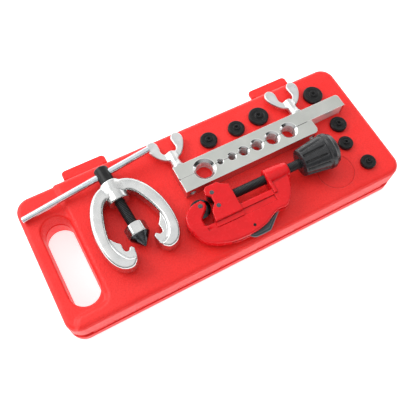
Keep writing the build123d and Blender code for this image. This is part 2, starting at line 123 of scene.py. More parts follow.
def hump(distance, width):
    """A smooth bump that is 1 at zero distance and fades over the width."""
    return np.exp(-((distance / width) ** 2))


def curve(points, steps=8):
    """Points along a smooth line through the given ones (Catmull-Rom)."""
    p = np.array(points, float)
    p = np.vstack([2 * p[0] - p[1], p, 2 * p[-1] - p[-2]])
    t = np.linspace(0, 1, steps, endpoint=False)[:, None]
    runs = []
    for a, b, c, d in zip(p[:-3], p[1:-2], p[2:-1], p[3:]):
        runs.append(b + 0.5 * t * (c - a + t * (2 * a - 5 * b + 4 * c - d + t * (3 * (b - c) + d - a))))
    return np.vstack([*runs, p[-2:-1]])


def arc(centre, radius, start, end, steps=12):
    """Points on an arc, with its angles in degrees."""
    t = np.radians(np.linspace(start, end, steps))
    return np.column_stack([centre[0] + radius * np.cos(t), centre[1] + radius * np.sin(t)])


class Outline:
    """Signed distance to a closed outline, measured once on a fine grid and then read from it."""

    def __init__(self, *runs, pitch=0.25, margin=6.0):
        points = np.vstack(runs)
        self.pitch = pitch
        self.low = points.min(0) - margin
        count = ((points.max(0) + margin - self.low) / pitch).astype(int) + 2
        x = (self.low[0] + pitch * np.arange(count[0]))[:, None]
        y = (self.low[1] + pitch * np.arange(count[1]))[None, :]
        nearest = np.full(count, 1e9)
        inside = np.zeros(count, bool)
        for (ax, ay), (bx, by) in zip(points, np.roll(points, -1, axis=0)):
            dx, dy = bx - ax, by - ay
            length = dx * dx + dy * dy
            if length < 1e-12:
                continue
            t = np.clip(((x - ax) * dx + (y - ay) * dy) / length, 0, 1)
            nearest = np.minimum(nearest, (x - ax - t * dx) ** 2 + (y - ay - t * dy) ** 2)
            if dy:
                inside ^= ((ay > y) != (by > y)) & (x < ax + (y - ay) * dx / dy)
        self.value = np.where(inside, -1, 1) * np.sqrt(nearest)

    def __call__(self, x, y):
        u = (x - self.low[0]) / self.pitch
        v = (y - self.low[1]) / self.pitch
        i = np.clip(np.floor(u).astype(int), 0, self.value.shape[0] - 2)
        j = np.clip(np.floor(v).astype(int), 0, self.value.shape[1] - 2)
        s = np.clip(u - i, 0, 1)
        t = np.clip(v - j, 0, 1)
        near = self.value[i, j] * (1 - s) + self.value[i + 1, j] * s
        far = self.value[i, j + 1] * (1 - s) + self.value[i + 1, j + 1] * s
        return near * (1 - t) + far * t


def lines(low, high, fine, coarse=None, spots=()):
    """Grid lines from low to high, fine inside the spots and coarse between them."""
    if coarse is None:
        return np.arange(low, high + fine, fine)
    at = low
    made = [at]
    while at < high:
        inside = any(start <= at < end for start, end in spots)
        ahead = min([start - at for start, end in spots if start > at], default=coarse)
        at += fine if inside else min(coarse, max(ahead, fine))
        made.append(at)
    return np.array(made)


NET_STEPS = 4
LEAST_SLOPE = 0.3


def surface(field, *runs):
    """Vertices, quads, normals and bends where a field is zero (surface nets).

    The runs hold what lines() takes for the grid along x, y and z.
    """
    grid = [lines(*run) for run in runs]
    value = field(*np.meshgrid(*grid, indexing="ij", sparse=True))
    cells = tuple(n - 1 for n in value.shape)
    total = np.zeros(cells + (3,))
    count = np.zeros(cells)
    for a in range(3):
        b, c = (a + 1) % 3, (a + 2) % 3
        v = value.transpose(a, b, c)
        crossed = (v[:-1] < 0) != (v[1:] < 0)
        share = np.where(crossed, v[:-1] / np.where(crossed, v[:-1] - v[1:], 1), 0)
        count_view = count.transpose(a, b, c)
        total_view = total.transpose(a, b, c, 3)
        for j in (0, 1):
            for k in (0, 1):
                part = (slice(None), slice(j, v.shape[1] - 1 + j), slice(k, v.shape[2] - 1 + k))
                count_view += crossed[part]
                total_view[..., a] += share[part]
                total_view[..., b] += j * crossed[part]
                total_view[..., c] += k * crossed[part]
    active = count > 0
    index = np.full(cells, -1)
    index[active] = np.arange(np.count_nonzero(active))
    corner = np.argwhere(active)
    local = total[active] / count[active][:, None]
    low = np.column_stack([g[i] for g, i in zip(grid, corner.T)])
    high = np.column_stack([g[i + 1] for g, i in zip(grid, corner.T)])
    points = low + local * (high - low)
    for _ in range(NET_STEPS):
        slope = gradient(field, points)
        size = np.maximum((slope**2).sum(1), LEAST_SLOPE)
        points -= slope * (field(*points.T) / size)[:, None]
        points = np.clip(points, low, high)
    quads = []
    for a in range(3):
        b, c = (a + 1) % 3, (a + 2) % 3
        solid = value.transpose(a, b, c)[:, 1:-1, 1:-1] < 0
        cell = index.transpose(a, b, c)
        ring = (cell[:, :-1, :-1], cell[:, 1:, :-1], cell[:, 1:, 1:], cell[:, :-1, 1:])
        for hit, order in ((solid[:-1] & ~solid[1:], ring), (~solid[:-1] & solid[1:], ring[::-1])):
            quads.append(np.column_stack([side[hit] for side in order]))
    normals = gradient(field, points)
    normals /= np.maximum(np.linalg.norm(normals, axis=1), 1e-9)[:, None]
    return points, [np.vstack(quads)], normals, bend(field, points)


def around(field, points, reach):
    """A field ahead of and behind each point, for each axis in turn."""
    return [(field(*(points + step).T), field(*(points - step).T)) for step in reach * np.eye(3)]


def gradient(field, points, reach=0.1):
    """Slope of a field at each point."""
    return np.column_stack([ahead - behind for ahead, behind in around(field, points, reach)]) / (2 * reach)


def bend(field, points, reach=0.45):
    """How a surface bends at each point: 1 along sharp edges, 0 on flats, -1 in sharp inward corners."""
    total = sum(ahead + behind for ahead, behind in around(field, points, reach))
    return np.clip((total - 6 * field(*points.T)) / reach, -1, 1)


# ---------------- turned pieces
EASE_STEPS = 4
EASE_SHARE = 0.45


def eased(corners, r, steps=EASE_STEPS):
    """A profile of (height, radius) corners with each corner eased to a curve, and its normals."""
    p = np.array(corners, float)
    points = [p[0]]
    out = [turned_left(p[1] - p[0])]
    for before, at, after in zip(p[:-2], p[1:-1], p[2:]):
        d1 = (at - before) / np.linalg.norm(at - before)
        d2 = (after - at) / np.linalg.norm(after - at)
        turn = math.acos(max(-1.0, min(1.0, float(d1 @ d2))))
        shorter = min(np.linalg.norm(at - before), np.linalg.norm(after - at))
        reach = min(r * math.tan(turn / 2), EASE_SHARE * shorter)
        n1, n2 = turned_left(d1), turned_left(d2)
        for t in np.linspace(0, 1, steps + 1):
            points.append((1 - t) ** 2 * (at - d1 * reach) + 2 * t * (1 - t) * at + t**2 * (at + d2 * reach))
            n = (1 - t) * n1 + t * n2
            out.append(n / np.linalg.norm(n))
    points.append(p[-1])
    out.append(turned_left(p[-1] - p[-2]))
    return np.array(points), np.array(out)


def turned_left(d):
    """The outward normal of a profile run that climbs the outside."""
    return np.array([-d[1], d[0]]) / np.linalg.norm(d)


def ringed(radius, height, segments):
    """Points at each radius and height, all the way round z."""
    angle = np.linspace(0, 2 * math.pi, segments, endpoint=False)
    height = np.repeat(height, segments, 1)
    return np.stack([radius * np.cos(angle), radius * np.sin(angle), height], -1).reshape(-1, 3)


def banded(rings, segments, closed=False):
    """Quads between each ring of points and the next one, and from the last to the first if closed."""
    here = np.arange(segments)
    ahead = np.roll(here, -1)
    quads = []
    for i in range(rings if closed else rings - 1):
        a, b = i * segments, (i + 1) % rings * segments
        quads.append(np.column_stack([a + here, a + ahead, b + ahead, b + here]))
    return np.vstack(quads)


def spun(profile, segments, shape=None):
    """A profile of (height, radius) points, closed on the axis at both ends, spun round z.

    shape(height, radius, angle) may give a new radius and its bends, and then Blender works the normals out.
    """
    points, out = profile
    height, radius = points[1:-1, :1], points[1:-1, 1:]
    bends = np.zeros((len(height), segments))
    normals = None
    if shape is None:
        normals = ringed(out[1:-1, 1:], out[1:-1, :1], segments)
        normals = np.vstack([normals, [0, 0, out[0, 0]], [0, 0, out[-1, 0]]])
    else:
        angle = np.linspace(0, 2 * math.pi, segments, endpoint=False)
        radius, bends = shape(height, radius, angle[None, :])
    rings = ringed(radius, height, segments)
    vertices = np.vstack([rings, [0, 0, points[0, 0]], [0, 0, points[-1, 0]]])
    here = np.arange(segments)
    ahead = np.roll(here, -1)
    last = len(rings) - segments
    bottom = np.column_stack([np.full(segments, len(rings)), ahead, here])
    top = np.column_stack([np.full(segments, len(rings) + 1), last + here, last + ahead])
    return vertices, [banded(len(height), segments), bottom, top], normals, np.append(bends.ravel(), (0, 0))


def ring_spun(corners, segments=56, r=0.2):
    """A closed loop of (height, radius) corners spun round z, with a hole in the middle."""
    p = np.array(corners, float)
    points, out = eased([p[-1], *p, p[0], p[1]], r)
    # the easing adds a run of points at each corner, and the last run repeats the first
    keep = slice(1, -2 - EASE_STEPS)
    points, out = points[keep], out[keep]
    vertices = ringed(points[:, 1:], points[:, :1], segments)
    normals = ringed(out[:, 1:], out[:, :1], segments)
    return vertices, [banded(len(points), segments, closed=True)], normals, np.zeros(len(vertices))


def evenly(profile, pitch):
    """The same profile with points no further apart than the pitch."""
    points, out = profile
    dense, dense_out = [points[0]], [out[0]]
    for a, b, na, nb in zip(points[:-1], points[1:], out[:-1], out[1:]):
        parts = max(1, math.ceil(np.linalg.norm(b - a) / pitch))
        for i in range(1, parts + 1):
            dense.append(a + (b - a) * i / parts)
            dense_out.append(nb if i == parts else na + (nb - na) * i / parts)
    return np.array(dense), np.array(dense_out)


def thread(pitch, depth, start, end):
    """A shape for spun() that cuts a rounded screw thread between two heights."""

    def shape(height, radius, angle):
        turn = height / pitch - angle / (2 * math.pi)
        groove = 0.5 - 0.5 * np.cos(2 * math.pi * turn)
        fade = np.clip(np.minimum(height - start, end - height) / pitch, 0, 1)
        return radius - depth * groove**0.7 * fade, (0.7 - 1.7 * groove) * fade

    return shape


# ---------------- frames and pieces
def frame_at(origin, x, z):
    """Matrix from local millimetres to millimetres of the whole kit."""
    z = Vector(z).normalized()
    x = Vector(x)
    x = (x - z * x.dot(z)).normalized()
    y = z.cross(x)
    made = Matrix((x, y, z)).transposed().to_4x4()
    made.translation = Vector(origin)
    return made


def placed(name, data):
    """A new object of the scene."""
    made = bpy.data.objects.new(name, data)
    bpy.context.scene.collection.objects.link(made)
    return made


def piece(name, nodes, shape, place=None, **look):
    """Add a mesh made from vertices, face arrays, normals and bends in the place of CAD nodes."""
    vertices, faces, normals, bends = shape
    place = np.array(place if place is not None else Matrix.Identity(4))
    points = (vertices @ place[:3, :3].T + place[:3, 3]) * MM
    mesh = bpy.data.meshes.new(name)
    sizes = np.concatenate([np.full(len(f), f.shape[1]) for f in faces])
    corners = np.concatenate([f.ravel() for f in faces])
    mesh.vertices.add(len(points))
    mesh.vertices.foreach_set("co", points.ravel())
    mesh.loops.add(len(corners))
    mesh.loops.foreach_set("vertex_index", corners.astype(np.int32))
    mesh.polygons.add(len(sizes))
    mesh.polygons.foreach_set("loop_start", (np.cumsum(sizes) - sizes).astype(np.int32))
    mesh.update(calc_edges=True)
    mesh.shade_smooth()
    if normals is not None:
        mesh.normals_split_custom_set_from_vertices(normals @ place[:3, :3].T)
    mesh.attributes.new("bend", "FLOAT", "POINT").data.foreach_set("value", bends)
    made = placed(name, mesh)
    mesh.materials.append(material(slot_of[nodes[0]], **look))
    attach(made, body_of[nodes[0]])
    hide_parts(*nodes)


def carved(name, node, field, runs, place=None):
    """Add the surface of a field in the place of one CAD node."""
    piece(name, [node], surface(field, *runs), place)


# ---------------- materials
NOISE_SPAN = (0.3, 0.7)
EDGE_BENDS = (0.1, 0.7)
CREASE_SHADE_BENDS = (-0.6, -0.05)


class Surface:
    """One procedural material, or the world's air, under construction."""

    def __init__(self, name, air=None, **values):
        self.holder = air or bpy.data.materials.new(name)
        self.holder.use_nodes = True
        self.tree = self.holder.node_tree
        self.shader = self.tree.nodes["Background" if air else "Principled BSDF"]
        self.place = self.node("TexCoord").outputs["Generated" if air else "Object"]
        self.feed_all(self.shader, values)

    def node(self, kind, settings=None, **inputs):
        made = self.tree.nodes.new("ShaderNode" + kind)
        for key, value in (settings or {}).items():
            setattr(made, key, value)
        self.feed_all(made, inputs)
        return made

    def feed_all(self, node, values):
        for key, value in values.items():
            self.feed(node.inputs[key.replace("_", " ")], value)

    def feed(self, socket, value):
        if isinstance(value, bpy.types.NodeSocket):
            self.tree.links.new(value, socket)
        else:
            socket.default_value = value

    def stretched(self, scale, turn=(0.0, 0.0, 0.0)):
        turned = self.node("Mapping", Vector=self.place, Rotation=turn).outputs[0]
        return self.node("Mapping", Vector=turned, Scale=scale).outputs[0]

    def noise(self, size, detail, roughness, place=None):
        """Soft noise whose features are about size metres."""
        place = place if place is not None else self.place
        made = self.node("TexNoise", Vector=place, Scale=1 / size, Detail=detail, Roughness=roughness)
        return made.outputs["Fac"]

    def cells(self, size):
        return self.node("TexVoronoi", Vector=self.place, Scale=1 / size).outputs["Distance"]

    def spread(self, value, low, high, out_low=0.0, out_high=1.0):
        """The value from low to high given as out_low to out_high."""
        ends = {"From_Min": low, "From_Max": high, "To_Min": out_low, "To_Max": out_high}
        return self.node("MapRange", {"clamp": True}, Value=value, **ends).outputs["Result"]

    def swing(self, noise, low, high):
        """A number that swings from low to high with a noise."""
        return self.spread(noise, *NOISE_SPAN, low, high)

    def colours(self, value, *stops):
        """Colours at positions along a value."""
        ramp = self.node("ValToRGB", Fac=value)
        while len(ramp.color_ramp.elements) < len(stops):
            ramp.color_ramp.elements.new(0.5)
        for element, (position, colour) in zip(ramp.color_ramp.elements, stops):
            element.position = position
            element.color = (*colour, 1)
        return ramp.outputs["Color"]

    def tones(self, noise, low, high):
        """A colour that swings from low to high with a noise."""
        return self.colours(noise, *zip(NOISE_SPAN, (low, high)))

    def mixed(self, share, a, b):
        made = self.node("Mix", {"data_type": "RGBA"})
        self.feed(made.inputs[0], share)
        self.feed(made.inputs[6], a if isinstance(a, bpy.types.NodeSocket) else (*a, 1))
        self.feed(made.inputs[7], b if isinstance(b, bpy.types.NodeSocket) else (*b, 1))
        return made.outputs[2]

    def maths(self, operation, *values):
        made = self.node("Math", {"operation": operation})
        for socket, value in zip(made.inputs, values):
            self.feed(socket, value)
        return made.outputs[0]

    def bends(self, *spans):
        """How the piece bends, spread from one span to another."""
        return self.spread(self.node("Attribute", {"attribute_name": "bend"}).outputs["Fac"], *spans)

    def edges(self, most=1.0):
        """Up to the most along sharp, rubbed edges, 0 on flats; on the knob's plastic it carries a painted
        highlight.
        """
        return self.bends(*EDGE_BENDS, 0, most)

    def crease_shade(self, most):
        """Painted shade: up to the most in sharp inward corners, where shade falls, 0 on flats."""
        return self.bends(*CREASE_SHADE_BENDS, most, 0)

    def finish(self, colour, roughness, *bumps, **sockets):
        """Feed the shader and return the material. A bump is a value, a depth in metres and a strength."""
        for value, depth, strength in bumps:
            below = {"Normal": sockets["Normal"]} if "Normal" in sockets else {}
            made = self.node("Bump", Height=value, Distance=depth, Strength=strength, **below)
            sockets["Normal"] = made.outputs["Normal"]
        self.feed_all(self.shader, {"Base_Color": colour, "Roughness": roughness, **sockets})
        return self.holder


def case_red(name):
    """Blow-moulded polyethylene: saturated red, fine grain, faint flow marks and scuffs."""
    deepness = {"Subsurface_Weight": 0.05, "Subsurface_Scale": 0.0015, "Subsurface_Radius": (1.0, 0.1, 0.07)}
    s = Surface(name, Specular_IOR_Level=0.3, **deepness)
    flow = s.noise(0.05, 4, 0.6, s.stretched((0.5, 1.4, 1.0)))
    grain = s.noise(0.0016, 3, 0.6)
    pits = s.cells(0.0014)
    deep, middle, bright = (0.93, 0.020, 0.017), (0.97, 0.030, 0.026), (0.99, 0.040, 0.035)
    colour = s.colours(flow, (0.3, deep), (0.55, middle), (0.75, bright))
    colour = s.mixed(s.spread(grain, 0.35, 0.7, 0.0, 0.22), colour, (0.80, 0.012, 0.011))
    colour = s.mixed(s.spread(pits, 0.35, 0.75, 0.0, 0.25), colour, (0.70, 0.010, 0.010))
    scuffs = s.spread(s.noise(0.012, 6, 0.7, s.stretched((0.25, 1.6, 1.0), (0, 0, 0.5))), 0.66, 0.8, 0, 0.2)
    colour = s.mixed(scuffs, colour, (0.90, 0.08, 0.07))
    colour = s.mixed(s.edges(0.6), colour, (0.93, 0.05, 0.045))
    # painted shade: darker red in every sharp crease, where shade falls
    colour = s.mixed(s.crease_shade(0.6), colour, (0.45, 0.003, 0.003))
    roughness = s.maths("ADD", s.swing(grain, 0.34, 0.46), s.maths("MULTIPLY", scuffs, 0.4))
    return s.finish(colour, roughness, (pits, 0.0003, 0.5), (grain, 0.0004, 0.5), (flow, 0.0012, 0.2))


def chrome(name, satin=0.0):
    """Bright chrome over a casting, satin in places, with fine polishing marks."""
    s = Surface(name, Metallic=1.0)
    cast = s.noise(0.014, 3, 0.5)
    polish = s.noise(0.0012, 3, 0.6, s.stretched((0.25, 2.2, 1.0), (0, 0, 0.6)))
    colour = s.tones(cast, (0.60, 0.61, 0.61), (0.72, 0.72, 0.71))
    # painted shade: dark grey in every sharp crease, where shade falls
    colour = s.mixed(s.crease_shade(0.8), colour, (0.12, 0.12, 0.13))
    roughness = s.spread(cast, 0.35, 0.7, 0.15 + satin, 0.22 + satin)
    roughness = s.maths("ADD", roughness, s.swing(polish, 0, 0.06))
    return s.finish(colour, roughness, (cast, 0.0008, 0.12), (polish, 0.00005, 0.2))


rear_low, rear_high = box_mm("bar_rear")
front_low, front_high = box_mm("bar_front")
BAR_Y = (front_high.y + rear_low.y) / 2


def bar_steel(name):
    """Satin chrome on a milled bar: grinding lines along its length, painted shade in sharp inward corners
    and along the parting gap, and a painted reflection that brightens the grips in the holes and the band of
    top face round them.
    """
    s = Surface(name)
    grind = s.noise(0.0009, 5, 0.65, s.stretched((0.03, 1.6, 1.6)))
    cloud = s.noise(0.02, 3, 0.5)
    facing = s.node("SeparateXYZ", Vector=s.node("NewGeometry").outputs["True Normal"]).outputs["Z"]
    top = s.spread(facing, 0.8, 0.95)
    place = s.node("SeparateXYZ", Vector=s.place).outputs
    across = s.maths("ABSOLUTE", s.maths("SUBTRACT", place["Y"], BAR_Y * MM))
    along = s.maths("ABSOLUTE", s.maths("SUBTRACT", place["X"], (rear_low.x + rear_high.x) / 2 * MM))
    within_width = s.maths("LESS_THAN", across, 0.012)
    within_length = s.maths("LESS_THAN", along, (rear_high.x - rear_low.x) / 2 * MM - 0.003)
    inside = s.maths("MULTIPLY", within_width, within_length)
    # painted reflection: the steep walls inside the holes are made half diffuse further down, so that they
    # catch light and stand for the shine of the polished flares
    grip = s.maths("MULTIPLY", inside, s.spread(facing, 0.35, 0.55, 1, 0))
    satin = s.tones(cloud, (0.51, 0.525, 0.495), (0.58, 0.59, 0.56))
    colour = s.mixed(top, (0.62, 0.62, 0.62), satin)
    # painted reflection: up-facing faces in the band round the holes are painted much brighter
    colour = s.mixed(inside, colour, s.mixed(top, (0.88, 0.88, 0.88), satin))
    colour = s.mixed(s.edges(0.5), colour, (0.85, 0.85, 0.83))
    # painted shade: dark grey in every sharp crease, where shade falls
    colour = s.mixed(s.crease_shade(0.7), colour, (0.2, 0.2, 0.2))
    # painted shadow: a near-black line along the parting gap between the halves, stronger towards the open
    # end
    paired = s.maths("LESS_THAN", place["X"], (front_high.x - 5) * MM)
    open_end = s.spread(place["X"], front_low.x * MM, front_high.x * MM, 0.25, 0.95)
    seam_shadow = s.maths("MULTIPLY", s.maths("MULTIPLY", paired, open_end), s.spread(across, 0.00015, 0.0005, 1, 0))
    colour = s.mixed(seam_shadow, colour, (0.015, 0.015, 0.015))
    roughness = s.maths("ADD", 0.1, s.maths("MULTIPLY", top, s.swing(grind, 0.24, 0.36)))
    metallic = s.spread(grip, 0, 1, 1.0, 0.5)
    return s.finish(colour, roughness, (grind, 0.00005, 0.25), (cloud, 0.0003, 0.1), Metallic=metallic)


def zinc_steel(name):
    """Bright zinc on drawn wire, bluish, with lines along it."""
    s = Surface(name, Metallic=1.0)
    drawn = s.noise(0.0012, 4, 0.6, s.stretched((0.04, 1.5, 1.5), (0, 0.12, -0.05)))
    cloud = s.noise(0.006, 3, 0.6)
    colour = s.tones(cloud, (0.56, 0.61, 0.65), (0.66, 0.71, 0.74))
    return s.finish(colour, s.swing(drawn, 0.18, 0.25), (drawn, 0.00004, 0.15))


def black_oxide(name):
    """Oiled black oxide, rubbed brighter along its edges."""
    s = Surface(name, Specular_IOR_Level=0.28)
    grain = s.noise(0.0008, 4, 0.6)
    cloud = s.noise(0.006, 4, 0.6)
    colour = s.colours(cloud, (0.3, (0.004, 0.004, 0.0044)), (0.75, (0.011, 0.011, 0.0118)))
    worn = s.edges()
    colour = s.mixed(worn, colour, (0.07, 0.07, 0.075))
    # painted shade: near black in every sharp crease, such as thread roots
    colour = s.mixed(s.crease_shade(0.8), colour, (0.002, 0.002, 0.002))
    metallic = s.maths("MULTIPLY", worn, 0.6)
    bumps = ((grain, 0.00006, 0.3), (cloud, 0.0003, 0.1))
    return s.finish(colour, s.swing(grain, 0.3, 0.44), *bumps, Metallic=metallic)


def dark_steel(name, shade=1.0):
    """Hardened steel ground to a dark shine, with rings left by the wheel."""
    s = Surface(name, Metallic=1.0)
    rings = s.noise(0.0007, 4, 0.6, s.stretched((1.0, 0.5, 1.0)))
    cloud = s.noise(0.004, 3, 0.55)
    # The shade argument below 1 darkens every colour and the edges: a painted shade copy of this steel, for
    # the wheel and the rollers that sit in shadow between the cheeks.
    deep = tuple(shade * level for level in (0.085, 0.09, 0.098))
    light = tuple(shade * level for level in (0.17, 0.178, 0.19))
    colour = s.colours(cloud, (0.3, deep), (0.75, light))
    colour = s.mixed(s.edges(0.5 * shade), colour, (0.4, 0.4, 0.42))
    return s.finish(colour, s.swing(rings, 0.18, 0.3), (rings, 0.00006, 0.3), (cloud, 0.0002, 0.1))


def red_enamel(name):
    """Thick glossy enamel on a casting, with orange peel and thinner paint on the edges."""
    s = Surface(name, Coat_Weight=0.4, Coat_Roughness=0.05, Specular_IOR_Level=0.1)
    peel = s.noise(0.003, 2, 0.5)
    cloud = s.noise(0.012, 4, 0.6)
    colour = s.tones(cloud, (0.67, 0.004, 0.008), (0.77, 0.006, 0.011))
    colour = s.mixed(s.edges(0.15), colour, (0.88, 0.03, 0.035))
    # painted shade: dark red in every sharp crease, where shade falls
    colour = s.mixed(s.crease_shade(0.55), colour, (0.16, 0.001, 0.002))
    return s.finish(colour, s.swing(peel, 0.2, 0.3), (peel, 0.0002, 0.1))


def black_plastic(name):
    """Satin moulded plastic with a fine spark-eroded grain."""
    s = Surface(name, Specular_IOR_Level=0.5)
    grain = s.noise(0.0006, 3, 0.6)
    cloud = s.noise(0.008, 3, 0.6)
    colour = s.tones(cloud, (0.011, 0.0115, 0.013), (0.020, 0.0208, 0.023))
    # painted highlight: lighter grey along sharp edges, such as the knob's rib rims
    colour = s.mixed(s.edges(), colour, (0.08, 0.08, 0.086))
    # painted shade: near black in every sharp crease, such as the grooves between the knob's ribs
    colour = s.mixed(s.crease_shade(0.9), colour, (0.002, 0.002, 0.002))
    return s.finish(colour, s.swing(grain, 0.2, 0.3), (grain, 0.0001, 0.3), (cloud, 0.0004, 0.1))


def blade_grey(name):
    """Phosphated sheet steel with grinding lines towards the edge."""
    s = Surface(name, Metallic=0.4, Specular_IOR_Level=0.4)
    grind = s.noise(0.0008, 4, 0.6, s.stretched((0.15, 1.6, 1.0), (0, 0, -0.6)))
    cloud = s.noise(0.005, 3, 0.6)
    colour = s.tones(cloud, (0.036, 0.042, 0.046), (0.060, 0.068, 0.073))
    colour = s.mixed(s.edges(), colour, (0.20, 0.21, 0.22))
    return s.finish(colour, s.swing(grind, 0.34, 0.5), (grind, 0.00008, 0.3), (cloud, 0.0003, 0.1))


METALS = (chrome, bar_steel, zinc_steel, black_oxide, dark_steel, blade_grey)
makers = {maker.__name__: maker for maker in (case_red, red_enamel, black_plastic, *METALS)}
made_materials = {}


def material(slot, **look):
    """The material of a slot in the record, made once for each look."""
    key = (slot, *look.items())
    if key not in made_materials:
        made_materials[key] = makers[slot](slot, **look)
    return made_materials[key]


# ---------------- case
CASE_HALF = Vector((170.5, 67.5))
CASE_CORNER = 14.0
CASE_EDGE = 5.0
GRIP_DROP = 3.0
BASE_TOP = 20.0
LID_BOTTOM = 20.3
LID_TOP = box_mm("case_lid")[1].z
REAR_Y = box_mm("case_base")[1].y
STEP_X = -130.5
STEP_Y = -54.5
STEP_LEFT = -163.5
STEP_CORNER = 8
SLOT = Vector((-144.7, -5.5))
SLOT_HALF = Vector((12.25, 43.0))
SLOT_DRAFT = math.tan(math.radians(6))
hinge_y, hinge_z = (v / MM for v in joints["lid_hinge"]["pos_m"][1:])
KNUCKLE_R = 3.2
PIN_GAP_R = 1.55
KNUCKLE_PITCH = 20.4
KNUCKLE_GAP = 0.4
KNUCKLES = 15
GROOVE_Y = -60.5
GROOVE_Z = 12.0
RING = Vector((109.5, -40.4))
RING_R = 17.8
RING_WIDTH = 0.8
RING_DEPTH = 0.45
WALL_BASE = 4.0
LID_HOLLOW = (-121, 165.5, -56.5, 62.5)
LID_HOLLOW_TOP = 36.5
POCKETS = ((-120, -46, -54, 60), (-41, 163, 18, 60), (-41, 101, -54, 13.5), (106, 163, -54, 13.5))
POCKET_CORNER = 8.0


def case_plan(x, y):
    return rectangle(x, y, CASE_HALF.x, CASE_HALF.y, CASE_CORNER)


def slot_plan(x, y, grown):
    """Round-ended hand slot, wider by the growth all round."""
    straight = SLOT_HALF.y - SLOT_HALF.x
    dy = np.maximum(np.abs(y - SLOT.y) - straight, 0)
    return np.hypot(x - SLOT.x, dy) - SLOT_HALF.x - grown


def pocket(x, y, x0, x1, y0, y1, r):
    return rectangle(x - (x0 + x1) / 2, y - (y0 + y1) / 2, (x1 - x0) / 2, (y1 - y0) / 2, r)


def lid_field(x, y, z):
    plan = case_plan(x, y)
    strip = meet(y - STEP_Y, STEP_LEFT - x, STEP_CORNER)
    panel = join(STEP_X - x, strip, STEP_CORNER)
    ring = hump(disc(x - RING.x, y - RING.y, RING_R), RING_WIDTH)
    low = layer(plan, z, LID_BOTTOM, LID_TOP - GRIP_DROP, 0.8, CASE_EDGE - 0.4)
    raised = layer(meet(plan, panel), z, LID_BOTTOM + 6, LID_TOP, 0.0, CASE_EDGE)
    shell = np.maximum(join(low, raised, 2.0), plan) + RING_DEPTH * ring * (z > LID_TOP - 3)
    hollow = layer(pocket(x, y, *LID_HOLLOW, 9), z, -1.0, LID_HOLLOW_TOP, 0.0, 3.0)
    shell = cut(shell, hollow, 0.6)
    return cut(shell, slot_plan(x, y, SLOT_DRAFT * (z - LID_BOTTOM)), 1.8)


def base_field(x, y, z):
    shell = layer(case_plan(x, y), z, 0.0, BASE_TOP, CASE_EDGE, 0.8)
    pockets = np.minimum.reduce([pocket(x, y, *sides, POCKET_CORNER) for sides in POCKETS])
    shell = cut(shell, layer(pockets, z, WALL_BASE, BASE_TOP + 10, 3.0), 1.2)
    shell = cut(shell, np.maximum(y - GROOVE_Y, GROOVE_Z - z), 0.5)
    return cut(shell, slot_plan(x, y, SLOT_DRAFT * (BASE_TOP - z)), 1.4)


# grids fine over the rounded edges, the grooves and the pockets' walls, coarse over the flats
lid_runs = (
    (-172, 172, 0.7, 2.6, ((-172, -118), (90, 129), (155, 172))),
    (-69, 69, 0.7, 2.6, ((-69, -20), (50, 69))),
    (18.9, 41.5, 0.6, 1.4, ((18.9, 22.5), (33, 41.5))),
)
base_runs = (
    (-172, 172, 0.8, 3.2, ((-172, -118), (-48, -38), (99, 108), (155, 172))),
    (-69, 69, 0.8, 3.2, ((-69, -46), (9, 22), (50, 69))),
    (-1.4, 21.4, 0.6, 1.6, ((-1.4, 8), (10.5, 13.5), (18, 21.4))),
)
carved("case_lid_shell", "case_lid", lid_field, lid_runs)
carved("case_base_shell", "case_base", base_field, base_runs)


def repeated(shape, offsets):
    """The same mesh several times, moved by each offset."""
    vertices, (quads,), normals, bends = shape
    count = len(offsets)
    moved = np.vstack([vertices + offset for offset in offsets])
    quads = np.vstack([quads + i * len(vertices) for i in range(count)])
    return moved, [quads], np.tile(normals, (count, 1)), np.tile(bends, count)


def hinge_row(name, node, first, web_y, web_z, web_half_y, web_half_z):
    """Every other knuckle of the case hinge, each on a web whose place is given from the hinge pin."""
    half = (KNUCKLE_PITCH - KNUCKLE_GAP) / 2

    def field(x, y, z):
        y, z = y - hinge_y, z - hinge_z
        web = rectangle(y - web_y, z - web_z, web_half_y, web_half_z, 0.2)
        body = meet(join(disc(y, z, KNUCKLE_R), web, 0.4), np.abs(x) - half, 0.6)
        return cut(body, disc(y, z, PIN_GAP_R), 0.2)

    xs = (-half - 0.8, half + 0.8, 0.4, 1.6, ((-11, -9), (9, 11)))
    one = surface(field, xs, (hinge_y - 4, hinge_y + 5, 0.4), (hinge_z - 4.2, hinge_z + 5, 0.4))
    start = (0.5 - KNUCKLES / 2) * KNUCKLE_PITCH
    offsets = [(start + i * KNUCKLE_PITCH, 0, 0) for i in range(first, KNUCKLES, 2)]
    piece(name, [node], repeated(one, offsets))


CATCH_HALF = Vector((14.0, 1.2, 0.6))
CATCH_Z = 17.6


def catch_field(x, y, z):
    """The bead on the base that a latch hooks under, half sunk in the wall."""
    bead = rectangle(y - REAR_Y + CATCH_HALF.y, z - CATCH_Z, CATCH_HALF.y, CATCH_HALF.z, 0.35)
    return meet(bead, np.abs(x) - CATCH_HALF.x, 0.5)


catch = surface(
    catch_field,
    (-14.6, 14.6, 0.3, 1.5, ((-14.6, -13), (13, 14.6))),
    (REAR_Y - 3, REAR_Y + 0.4, 0.2),
    (CATCH_Z - 1, CATCH_Z + 1, 0.2),
)
latch_xs = [joints[name]["pos_m"][0] / MM for name in ("latch_left_hinge", "latch_right_hinge")]
piece("base_catches", ["case_base"], repeated(catch, [(x, 0, 0) for x in latch_xs]))
hinge_row("base_knuckles", "case_base", 0, 2.1, -0.3, 2.1, 2.9)
hinge_row("lid_knuckles", "case_lid", 1, 0, 2, KNUCKLE_R - 0.1, 2.0)


def rod(radius, start, end, r, steps=EASE_STEPS):
    """Profile of a straight rod with eased ends."""
    return eased([(start, 0), (start, radius), (end, radius), (end, 0)], r, steps)


